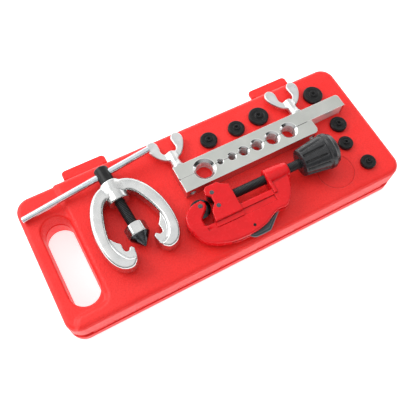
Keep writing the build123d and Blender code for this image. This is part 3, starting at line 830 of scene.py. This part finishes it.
def pin(name, node, radius, start, end, place, segments=32):
    """A straight pin with eased ends."""
    piece(name, [node], spun(rod(radius, start, end, min(0.5, radius / 3)), segments), place)


pin_low, pin_high = box_mm("hinge_pin")
along_hinge = frame_at((0, hinge_y, hinge_z), (0, 1, 0), (1, 0, 0))
pin("hinge_rod", "hinge_pin", (pin_high.z - pin_low.z) / 2, pin_low.x, pin_high.x, along_hinge)

# ---------------- latches
LATCH_BARREL_R = 2.3
LATCH_PIN_R = 1.0
LATCH_HALF_THICK = 1.5
LUG_LENGTH = 4
LIP_INSET = 7


def latch(name, node, joint):
    """A moulded latch plate with its barrel and hook lip, its pin, and the lid's lugs beside it."""
    low, high = box_mm(node)
    x0, y0, z0 = (v / MM for v in joints[joint]["pos_m"])
    half = (high.x - low.x) / 2
    tip = high.y - y0

    def plate(x, y, z):
        x, y, z = np.abs(x - x0), y - y0, z - z0
        plan = meet(rectangle(x, y - tip / 2 + 2, half, tip / 2 + 2, 4), -y, 0.2)
        body = layer(plan, z, -LATCH_HALF_THICK, LATCH_HALF_THICK, 1.0)
        lip = rectangle(y - tip + 1.0, z + 1.45, 0.9, 1.2, 0.5)
        body = join(body, meet(lip, x - half + LIP_INSET, 0.4), 0.3)
        barrel = meet(disc(y, z, LATCH_BARREL_R), x - half + LUG_LENGTH + 0.6, 0.4)
        body = join(body, barrel, 0.6)
        room = meet(rectangle(y, z, 2.9, 2.9), between(x, half - LUG_LENGTH - 0.5, half + 2))
        body = cut(body, room, 0.4)
        return cut(body, disc(y, z, LATCH_PIN_R + PIN_FIT), 0.15)

    def lugs(x, y, z):
        x, y, z = np.abs(x - x0), y - y0, z - z0
        web = rectangle(y + 2.2, z, 2.2, LATCH_BARREL_R, 0.3)
        body = join(disc(y, z, LATCH_BARREL_R), web, 0.3)
        body = meet(body, between(x, half - LUG_LENGTH, half), 0.5)
        return cut(body, disc(y, z, LATCH_PIN_R + PIN_FIT), 0.15)

    xs = (x0 - half - 1, x0 + half + 1, 0.4)
    zs = (z0 - 4.6, z0 + 3.4, 0.4)
    carved(name, node, plate, (xs, (y0 - 3.4, high.y + 1, 0.4), zs))
    carved(name + "_lugs", "case_lid", lugs, (xs, (y0 - 5.2, y0 + 3.4, 0.4), zs))
    place = frame_at((x0, y0, z0), (0, 1, 0), (1, 0, 0))
    pin(name + "_rod", "latch_pins", LATCH_PIN_R, -half - 0.4, half + 0.4, place, 20)


for side in ("left", "right"):
    latch(f"latch_plate_{side}", f"latch_{side}", f"latch_{side}_hinge")

# ---------------- flaring bar
FLARE = 0.35
GRIP_DEPTH = 0.09
GRIP_PITCH = 0.95
NOTCH_R = 1.3
NOTCH_DEPTH = 1.5
STUD_R = 3.0
stud_xs = [joints[name]["pos_m"][0] / MM for name in ("nut_left_turn", "nut_right_turn")]
stud_z = joints["nut_left_turn"]["pos_m"][2] / MM
tubes = [(m["pos_m"][0] / MM, m["dims"]["r_mm"]) for m in record["mounts"] if m["kind"] == "clamp"]


def bar_half(name, node, corner):
    """One half of the flaring bar, square at the left end and rounded at the right."""
    low, high = box_mm(node)
    length = high.x - low.x
    middle = (low + high) / 2
    side = 1 if middle.y > BAR_Y else -1
    gap, depth_y = sorted(((low.y - BAR_Y) * side, (high.y - BAR_Y) * side))

    def field(x, y, z):
        outward = (y - BAR_Y) * side
        plan = np.maximum(np.abs(x - middle.x) - length / 2, outward - depth_y)
        end = meet(x - high.x, outward - depth_y, corner)
        body = layer(np.maximum(plan, end), z, low.z, high.z, 0.35, 0.5)
        body = cut(body, outward - gap, 0.08)
        for tube_x, r in tubes:
            reach = np.hypot(x - tube_x, y - BAR_Y)
            depth = r * FLARE
            grip = GRIP_DEPTH * np.cos(2 * math.pi * z / GRIP_PITCH) * (z < high.z - depth - 0.4)
            hole = np.minimum(reach - r + grip, (reach - r - depth + (high.z - z)) * SLANT)
            body = cut(body, hole, 0.12)
        for stud_x in stud_xs:
            body = cut(body, disc(x - stud_x, z - stud_z, STUD_R + PIN_FIT), 0.2)
        return cut(body, meet(disc(x - low.x, y - BAR_Y, NOTCH_R), high.z - NOTCH_DEPTH - z), 0.15)

    xs = (low.x - 0.8, high.x + 0.8, 0.38, 1.5, ((low.x - 1, 112), (high.x - 6, high.x + 1)))
    carved(name, node, field, (xs, (low.y - 0.8, high.y + 0.8, 0.4), (low.z - 0.6, high.z + 0.6, 0.3)))


bar_half("bar_half_rear", "bar_rear", 3.5)
bar_half("bar_half_front", "bar_front", 4.5)

stud_low, stud_high = box_mm("clamp_studs")
for i, stud_x in enumerate(stud_xs):
    place = frame_at((stud_x, 0, stud_z), (1, 0, 0), (0, 1, 0))
    profile = evenly(rod(STUD_R, stud_low.y, stud_high.y, 0.6), 0.16)
    shape = thread(1.0, 0.35, BAR_Y + 14, stud_high.y + 1)
    piece(f"clamp_stud_{i + 1}", ["clamp_studs"], spun(profile, 36, shape), place)

# ---------------- wing nuts
NUT_LENGTH = 18.0
WING_HALF = 1.8
WAIST_AT = (0, 1.6, 3.4, 6, NUT_LENGTH)
WAIST_R = (6.2, 6.1, 5.2, 4.7, 4.1)
DISH = Vector((12.6, 29.6))
DISH_R = 4.2
DISH_DEPTH = 0.5
wing = Outline(
    curve(
        [(2.2, 9.0), (8.6, 12.2), (13.6, 17.6), (17.0, 24.0), (18.0, 30.4), (15.4, 35.0)]
        + [(10.8, 35.4), (7.4, 31.6), (7.2, 26.0), (7.6, 21.4), (5.8, 18.0), (2.2, 16.4)]
    ),
    pitch=0.15,
)


def nut_field(x, y, z):
    """Wing nut with its thread along y from 0: a waisted hub and two dished lobes."""
    reach = np.hypot(x, z)
    hub = meet(reach - np.interp(y, WAIST_AT, WAIST_R), between(y, 0, NUT_LENGTH), 0.7)
    side = np.abs(x)
    half = WING_HALF - DISH_DEPTH * hump(np.hypot(side - DISH.x, y - DISH.y), DISH_R)
    blade = meet(wing(side, y), np.abs(z) - half, 1.2)
    body = join(hub, blade, 2.4)
    return cut(body, reach - STUD_R - PIN_FIT, 0.3)


nut_shape = surface(nut_field, (-18.4, 18.4, 0.36), (-0.7, 36.6, 0.36), (-7, 7, 0.36))
for side, stud_x in zip(("left", "right"), stud_xs):
    low, high = box_mm(f"wing_nut_{side}")
    place = frame_at((stud_x, low.y, stud_z), (1, 0, 0), (0, 0, 1))
    piece(f"wing_nut_{side}_body", [f"wing_nut_{side}"], nut_shape, place, satin=0.1)

# ---------------- yoke and feed screw
# local frame: origin where the T-bar crosses the screw, x across, y back from the cone
screw_axis = Vector(joints["cone_travel"]["axis"])
screw_origin = Vector(joints["screw_turn"]["pos_m"]) / MM
yoke_place = frame_at(screw_origin, Vector((0, 0, 1)).cross(screw_axis), (0, 0, 1))
screw_place = frame_at(screw_origin, (0, 0, 1), screw_axis)
YOKE_HALF = 8.0
HOOK_HALF = 5.5
BOSS_R = 10.0
SCREW_R = 4.75
BOSS = (11.3, 32.0)
CROWN = 0.9
FACE_DRAFT = 0.07
SEAM = 0.12
rim = Outline(
    [(-3, -12.5)],
    curve(
        [(4, -12.5), (13, -14.0), (21.5, -20.0), (28.4, -30.0), (33.4, -43.5), (35.5, -58)]
        + [(34.9, -73), (31.2, -84.5), (25.0, -90.8), (17.4, -92.2), (12.2, -88.4), (11.2, -85.2)]
    ),
    curve([(11.2, -85.2), (18.5, -82), (23.6, -72), (24.2, -60), (19.9, -43), (13.2, -29), (4, -25)]),
    [(-3, -25)],
)
hook = Outline(
    [(25, -58), (22.6, -63), (20.9, -65.4), (18.1, -68.6), (18.3, -73.8)],
    arc((15.85, -74.6), 2.45, 18, -188),
    [(13.4, -74.9), (11.4, -74.6), (9.7, -76.6), (11.0, -84.6), (13.5, -86), (26, -78)],
)


def yoke_field(x, y, z):
    side = np.abs(x)
    plan = rim(side, y)
    # a cast section: slightly crowned faces, drawn in a little towards both of them
    crown = CROWN * hump(plan + 5.8, 5.0)
    body = meet(plan + FACE_DRAFT * np.abs(z), np.abs(z) - YOKE_HALF + CROWN - crown, 2.4)
    inner = layer(hook(side, y), z, -HOOK_HALF, HOOK_HALF, 0.9)
    body = join(body, inner, 0.8)
    boss = meet(np.hypot(x, z) - BOSS_R, between(-y, *BOSS), 1.4)
    body = join(body, boss, 2.2)
    return cut(body - SEAM * hump(z, 0.5), np.hypot(x, z) - SCREW_R - SCREW_FIT, 0.5)


yoke_runs = ((-36.6, 36.6, 0.5), (-92.6, -10.4, 0.5), (-10.8, 10.8, 0.5))
carved("yoke_casting", "yoke_frame", yoke_field, yoke_runs, yoke_place)

COLLAR = (57.5, 68.2)
COLLAR_R = 10.2
COLLAR_FLAT = 9.25
COLLAR_END_R = 9.2
SCREW_PITCH = 1.5
SCREW_STEP = 0.22
profile = evenly(rod(SCREW_R, BOSS[0] - 0.2, COLLAR[0] - 0.1, 0.4), SCREW_STEP)
shape = spun(profile, 48, thread(SCREW_PITCH, 0.55, BOSS[0] - 1, COLLAR[0] - 1))
piece("feed_screw_shaft", ["feed_screw"], shape, screw_place)

HEAD = (-6.5, 10.9)
HEAD_R = 6.75
TBAR_R = 3.0
tbar_axis = Vector(joints["t_bar_slide"]["axis"])
tbar_local = screw_place.to_3x3().inverted() @ tbar_axis


def head_field(x, y, z):
    """Screw head: a domed barrel with a cross hole for the T-bar."""
    barrel = meet(np.hypot(x, y) - HEAD_R, between(z, *HEAD), 1.6)
    along = x * tbar_local.x + y * tbar_local.y + z * tbar_local.z
    bore = np.sqrt(np.maximum(x * x + y * y + z * z - along**2, 0)) - TBAR_R - SCREW_FIT
    return cut(barrel, bore, 0.5)


head_runs = ((-7.4, 7.4, 0.3), (-7.4, 7.4, 0.3), (HEAD[0] - 0.6, HEAD[1] + 0.6, 0.3))
carved("feed_screw_head", "screw_head", head_field, head_runs, screw_place)

TBAR_ENDS = (-81.0, 47.3)
tbar_place = frame_at(screw_origin, (0, 0, 1), tbar_axis)
piece("t_bar_rod", ["t_bar"], spun(rod(TBAR_R, *TBAR_ENDS, 1.0, 6), 48), tbar_place)

CONE = (COLLAR[1] + 0.05, 79.0)
CONE_R = 9.7


def collar_field(x, y, z):
    """Six-sided collar, turned down to a cone at both ends."""
    turns = (0, math.pi / 3, 2 * math.pi / 3)
    flats = np.maximum.reduce([np.abs(x * math.cos(a) + y * math.sin(a)) for a in turns])
    reach = np.hypot(x, y)
    body = meet(flats - COLLAR_FLAT, reach - COLLAR_R, 0.3)
    body = meet(body, between(z, *COLLAR), 0.3)
    ends = reach - COLLAR_END_R - np.minimum(z - COLLAR[0], COLLAR[1] - z)
    return meet(body, ends * SLANT, 0.3)


collar_runs = ((-10.8, 10.8, 0.33), (-10.8, 10.8, 0.33), (COLLAR[0] - 0.6, COLLAR[1] + 0.6, 0.3))
carved("cone_collar_body", "cone_collar", collar_field, collar_runs, screw_place)
profile = eased([(CONE[0], 0), (CONE[0], CONE_R), (CONE[1], 0.5), (CONE[1], 0)], 0.3)
piece("flaring_cone_body", ["flaring_cone"], spun(profile, 72), screw_place)

# ---------------- tube cutter
# local frame: origin at the wheel pin, x along the screw to the knob, z through the thickness
cutter_origin = Vector(joints["wheel_spin"]["pos_m"]) / MM
cutter_x = Vector(joints["cutter_travel"]["axis"])
cutter_place = frame_at(cutter_origin, cutter_x, joints["wheel_spin"]["axis"])
cutter_screw_place = frame_at(cutter_origin, joints["wheel_spin"]["axis"], cutter_x)
SPINE_HALF = 5.0
LOBE_HALF = 7.0
BLOCK_HALF = 8.4
WHEEL_R = 9.4
THREAD_R = 4.5
BARREL_R = 8.8
WALL_HALF = 7.2
WALL = Vector((66.0, -8.5))
WHEEL_ROOM = 1.6
WHEEL_SLOT_HALF = 1.8
BLADE_SLOT_HALF = 1.45
CHANNEL = Vector((30.5, -21.0))
CHANNEL_HALF = Vector((33.5, 3.0))
CHANNEL_DEPTH = 1.5
BARREL_TAPER = 0.035
BARREL_DOME = 0.006
SWELL_X = 11.0
SWELL_Y = -34.0
BARREL = (64.5, 88.0)
ROLLER = Vector((14.6, 6.8))
REAMER = Vector((35.0, -36.0))
spine = Outline(
    curve(
        [(2.5, 4.8), (-7, 3.4), (-15.1, -2.7), (-17.5, -11), (-16.4, -18), (-12, -28.4), (-1.5, -36.2)]
        + [(12.8, -40.8), (25.2, -41.7), (36, -41), (46, -38.6), (54.5, -34.4), (61.5, -31.8)]
        + [(68.5, -32.2), (74, -28.6), (79.4, -21.5), (84, -11), (86, -2)]
    ),
    [(66, -2), (66, -12), (7, -12), (7, -18)],
    curve([(-3.8, -18), (-4.6, -13), (-2.6, -8.6), (3.4, -3), (4.8, 1), (2.5, 4.8)])[:-1],
)
lobe = Outline(
    curve([(2.9, 5.4), (-7.3, 4.0), (-15.7, -2.5), (-18.1, -11), (-16.9, -18.4)]),
    curve([(-3.4, -16.4), (-3.9, -12.6), (-2.0, -9.0), (4.0, -3.2), (5.4, 1.2), (2.9, 5.4)])[:-1],
)
reamer_gap = Outline([(15, -24), (70, -24), (76, -34), (60, -60), (6, -60)], margin=30)


def cutter_field(x, y, z):
    # the web swells smoothly into the lobe that carries the wheel
    swell = np.clip((y - SWELL_Y) / 18, 0, 1) * np.clip((SWELL_X - x) / 9, 0, 1)
    swell = swell * swell * (3 - 2 * swell)
    half = SPINE_HALF + (LOBE_HALF - SPINE_HALF) * swell
    body = meet(np.minimum(spine(x, y), lobe(x, y)), np.abs(z) - half, 2.0)
    wall = rectangle(x - WALL.x, y - WALL.y, 1.5, 9.0, 0.6)
    body = join(body, layer(wall, z, -WALL_HALF, WALL_HALF, 0.8), 0.5)
    taper = BARREL_R - BARREL_TAPER * (x - BARREL[0]) - BARREL_DOME * np.maximum(x - 76, 0) ** 2
    barrel = meet(np.hypot(y, z) - taper, between(x, *BARREL), 1.8)
    body = join(body, barrel, 0.7)
    channel = rectangle(x - CHANNEL.x, y - CHANNEL.y, *CHANNEL_HALF)
    channel = meet(channel, between(np.abs(z), SPINE_HALF - CHANNEL_DEPTH, SPINE_HALF + CHANNEL_DEPTH))
    body = cut(body, channel, 0.3)
    wheel_room = np.minimum(disc(x, y, WHEEL_R + WHEEL_ROOM), rectangle(x - 8, y, 7, WHEEL_R))
    body = cut(body, layer(wheel_room, z, -WHEEL_SLOT_HALF, WHEEL_SLOT_HALF), 0.3)
    body = cut(body, disc(x, y, 1.6), 0.2)
    body = cut(body, layer(reamer_gap(x, y), z, -BLADE_SLOT_HALF, BLADE_SLOT_HALF), 0.3)
    body = cut(body, disc(x - REAMER.x, y - REAMER.y, 1.3), 0.2)
    return cut(body, meet(disc(y, z, THREAD_R + SCREW_FIT), 60 - x), 0.5)


casting_runs = ((-19, 89, 0.5), (-43, 10, 0.5), (-9.6, 9.6, 0.45))
carved("cutter_casting", "cutter_frame", cutter_field, casting_runs, cutter_place)

LEG = (18.8, -20.95)
LEG_HALF = (13.2, 2.85)
slide = Outline(
    [(5.6, -19.2), (32, -19.2), (32, 7.6), (25.4, 11.6), (23.2, 14.4)],
    curve([(14.6, 14.4), (11.2, 14.0), (9.0, 11.4), (8.4, 6.8)]),
    [(12.4, 3.6), (12.4, -3), (7.4, -8.4)],
    pitch=0.2,
)


def slide_field(x, y, z):
    body = layer(slide(x, y), z, -BLOCK_HALF, BLOCK_HALF, 1.0)
    rail_gap = np.maximum(y + 11.9, -30 - y)
    roller_gap = np.maximum(x - 20.4, -13 - y)
    gap = meet(np.minimum(rail_gap, roller_gap), np.abs(z) - SPINE_HALF - 0.1)
    body = cut(body, gap, 0.3)
    leg = rectangle(x - LEG[0], y - LEG[1], *LEG_HALF, 0.5)
    body = np.minimum(body, layer(leg, np.abs(z), 3.6, 5.6, 0.3))
    body = cut(body, disc(x - ROLLER.x, np.abs(y) - ROLLER.y, 1.55), 0.2)
    return cut(body, meet(disc(y, z, THREAD_R + SCREW_FIT), 24 - x), 0.5)


slide_runs = ((4.6, 33, 0.4), (-24.8, 15.4, 0.4), (-9.2, 9.2, 0.4))
carved("cutter_slide_block", "slide_block", slide_field, slide_runs, cutter_place)


def cross_pin(name, node, x, y, radius, half, head, segments=28):
    """A riveted pin square to the cutter, with a low flat head at each end and a ring turned in it."""
    place = cutter_place @ Matrix.Translation((x, y, 0))
    end = [(half - 0.22, radius), (half - 0.22, head), (half, head - 0.25), (half, head * 0.6)]
    end += [(half - 0.15, head * 0.5), (half, head * 0.4), (half, 0)]
    start = [(-height, r) for height, r in reversed(end)]
    piece(name, [node], spun(eased(start + end, 0.1), segments), place)


cross_pin("cutter_wheel_pin", "wheel_pin", 0, 0, 1.5, LOBE_HALF + 0.22, 2.3)
for way, y in (("upper", ROLLER.y), ("lower", -ROLLER.y)):
    cross_pin(f"roller_pin_{way}", "roller_pins", ROLLER.x, y, 1.5, BLOCK_HALF + 0.22, 2.1)
cross_pin("reamer_blade_pin", "reamer_pin", REAMER.x, REAMER.y, 1.2, SPINE_HALF + 0.1, 1.5)

ROLLER_HALF = 4.8
ROLLER_R = 5.1
# colour level of the rollers and the wheel: painted shade, since they sit in shadow between the cheeks
ROLLER_WHEEL_PAINTED_SHADE = 0.25
FLARE_GROOVE = Vector((0.6, 0.8))
AXLE_R = 1.56
corners = [(-ROLLER_HALF, AXLE_R), (-ROLLER_HALF, ROLLER_R), (-FLARE_GROOVE.x, ROLLER_R)]
corners += [(-FLARE_GROOVE.x, ROLLER_R - FLARE_GROOVE.y)]
corners += [(-height, radius) for height, radius in reversed(corners)]
# the rollers and the wheel below take the painted shade copy of their steel
for way, y in (("upper", ROLLER.y), ("lower", -ROLLER.y)):
    place = cutter_place @ Matrix.Translation((ROLLER.x, y, 0))
    piece(f"guide_roller_{way}", [f"roller_{way}"], ring_spun(corners), place, shade=ROLLER_WHEEL_PAINTED_SHADE)
wheel = [(-1.5, AXLE_R), (-1.5, 6.2), (-0.15, WHEEL_R), (0.15, WHEEL_R), (1.5, 6.2), (1.5, AXLE_R)]
piece("cutter_wheel_disc", ["cutting_wheel"], ring_spun(wheel, 80, 0.1), cutter_place, shade=ROLLER_WHEEL_PAINTED_SHADE)

KNOB = (100.0, 139.0)
KNOB_R = 17.1
RIBS = 12
RIB_LENGTH = 25.0
RIB_DEPTH = 1.5
shape = spun(evenly(rod(THREAD_R, 24.2, 106, 0.8), SCREW_STEP), 48, thread(1.25, 0.45, 31.5, 99))
piece("cutter_screw_shaft", ["cutter_screw"], shape, cutter_screw_place)


def ribs(height, radius, angle):
    """Twelve raised wedges that widen towards the flange, with a groove between each pair."""
    along = (height - KNOB[0]) / RIB_LENGTH
    wave = np.abs(np.mod(angle * RIBS / (2 * math.pi), 1) - 0.5) * 2
    width = 0.5 - 0.25 * np.clip(along, 0, 1)
    groove = np.clip((wave - 1 + width) / 0.16, 0, 1)
    on = np.clip((height - KNOB[0] - 2.5) / 1.5, 0, 1) * np.clip((KNOB[0] + 24.6 - height) / 1.2, 0, 1)
    outer = np.clip((radius - 9.5) / 1.5, 0, 1)
    rim = 4 * groove * (1 - groove)
    # the bends mark each groove's rims as sharp edges and the groove itself as a crease, so that the knob's
    # material paints a highlight on the rims and shade in the grooves
    return radius - RIB_DEPTH * groove * on * outer, (rim - groove) * on * outer


knob_corners = [(0, 0), (0, 9), (1.5, 12.8), (25, 16.4), (25.6, 15.9), (26.6, 15.9), (27.4, KNOB_R)]
knob_corners += [(31, KNOB_R), (32.2, 16.2), (35.5, 14.4), (38.2, 10), (KNOB[1] - KNOB[0], 0)]
profile = eased([(KNOB[0] + height, radius) for height, radius in knob_corners], 0.9)
piece("cutter_knob_body", ["knob"], spun(evenly(profile, 0.45), 288, ribs), cutter_screw_place)

BEVEL = 2.0
blade = Outline(
    [(65.5, -30.5), (47, -46.4), (38, -46.8)],
    curve([(38, -46.8), (32.6, -46.6), (28.8, -45), (26.7, -42.6), (25.8, -40)])[1:-1],
    [(25.8, -40), (30.5, -32.5), (38, -31.4), (52, -32.4)],
    pitch=0.15,
)


def blade_field(x, y, z):
    """Folding reamer blade, bevelled all round its outer edge."""
    plan = blade(x, y)
    bevel = (plan + 2.2 + (np.abs(z) - 0.5) * BEVEL) / math.hypot(1, BEVEL)
    body = np.maximum(meet(plan, np.abs(z) - 1.2, 0.15), bevel)
    return cut(body, disc(x - REAMER.x, y - REAMER.y, 1.25), 0.15)


blade_runs = ((25, 68, 0.35), (-48, -29.5, 0.35), (-1.7, 1.7, 0.25))
carved("reamer_blade_plate", "reamer_blade", blade_field, blade_runs, cutter_place)

# ---------------- adapters
for i in range(1, 8):
    node = f"adapter_{i}"
    low, high = box_mm(node)
    centre = (low + high) / 2
    r = (high.x - low.x) / 2
    disc_top = high.z - 1.2
    place = frame_at((centre.x, centre.y, 0), (1, 0, 0), (0, 0, 1))
    corners = [(low.z, 0), (low.z, r - 0.7), (low.z + 0.7, r), (disc_top - 0.9, r), (disc_top, r - 0.9)]
    corners += [(disc_top, r * 0.62), (disc_top - 0.45, r * 0.56), (disc_top - 0.45, r * 0.42)]
    corners += [(disc_top, r * 0.36), (high.z, r * 0.34), (high.z, r * 0.2), (high.z - 1.6, r * 0.08)]
    profile = eased([*corners, (high.z - 1.6, 0)], 0.35)
    piece(f"adapter_disc_{i}", [node], spun(profile, 72), place)

# ---------------- studio
TARGET = Vector((-16.3, -18.7, 40.0)) * MM
AZIMUTH = math.radians(-34.34)
ELEVATION = math.radians(65.39)
ROLL = math.radians(6.34)
DISTANCE = 0.5
LENS = 47.86
KEY_PLACE = (-1.3, 1.2, 1.5)
KEY_SIZE = (1.5, 1.2)
KEY_WATTS = 22
REACH = 14
WALL_RISE = 2.7
BACK_Y = 2.2
BACK_R = 0.8


def camera():
    made = placed("camera", bpy.data.cameras.new("camera"))
    flat = math.cos(ELEVATION)
    back = Vector((math.sin(AZIMUTH) * flat, -math.cos(AZIMUTH) * flat, math.sin(ELEVATION)))
    made.location = TARGET + back * DISTANCE
    level = (-back).to_track_quat("-Z", "Y").to_matrix()
    made.rotation_euler = (level @ Matrix.Rotation(ROLL, 3, "Z")).to_euler()
    made.data.lens = LENS
    made.data.sensor_width = 36
    made.data.clip_start = 0.01
    made.data.clip_end = 20
    bpy.context.scene.camera = made


def key_light():
    data = bpy.data.lights.new("key", "AREA")
    data.shape = "RECTANGLE"
    data.size, data.size_y = KEY_SIZE
    data.energy = KEY_WATTS
    made = placed("key", data)
    made.location = KEY_PLACE
    made.rotation_euler = (-Vector(KEY_PLACE)).to_track_quat("-Z", "Y").to_euler()


def floor():
    wall = [(-REACH - 0.5, WALL_RISE), (-REACH, 0.0), (-REACH + 0.5, 0.0)]
    along = [*wall, (BACK_Y, 0.0)]
    turns = np.radians(range(10, 91, 10))
    along += [(BACK_Y + BACK_R * math.sin(a), BACK_R - BACK_R * math.cos(a)) for a in turns]
    along += [(BACK_Y + BACK_R, 3.0)]
    across = wall + [(-x, rise) for x, rise in reversed(wall)]
    vertices = [(x, y, z + rise) for y, z in along for x, rise in across]
    wide = len(across)
    starts = [i * wide + j for i in range(len(along) - 1) for j in range(wide - 1)]
    faces = [(a, a + 1, a + 1 + wide, a + wide) for a in starts]
    mesh = bpy.data.meshes.new("floor")
    mesh.from_pydata(vertices, [], faces)
    mesh.shade_smooth()
    made = placed("floor", mesh)
    s = Surface("floor_paper", Emission_Color=(1, 1, 1, 1), Emission_Strength=0.65)
    cloud = s.noise(0.4, 3, 0.5)
    colour = s.tones(cloud, (0.90, 0.90, 0.90), (0.93, 0.93, 0.93))
    mesh.materials.append(s.finish(colour, s.swing(cloud, 0.85, 0.95)))


def world():
    """White studio air, dark low down, so that polished metal has something to show."""
    made = bpy.data.worlds.new("studio")
    bpy.context.scene.world = made
    air = Surface("studio", made, Strength=1.0)
    height = air.node("SeparateXYZ", Vector=air.place).outputs["Z"]
    bands = ((0.0, 0.01), (0.34, 0.03), (0.52, 0.5), (0.76, 0.9), (0.92, 1.06), (1.0, 1.06))
    stops = [(at, (level, level, level)) for at, level in bands]
    air.feed(air.shader.inputs["Color"], air.colours(height, *stops))


camera()
world()
floor()
key_light()
bpy.context.scene.view_settings.view_transform = "Standard"
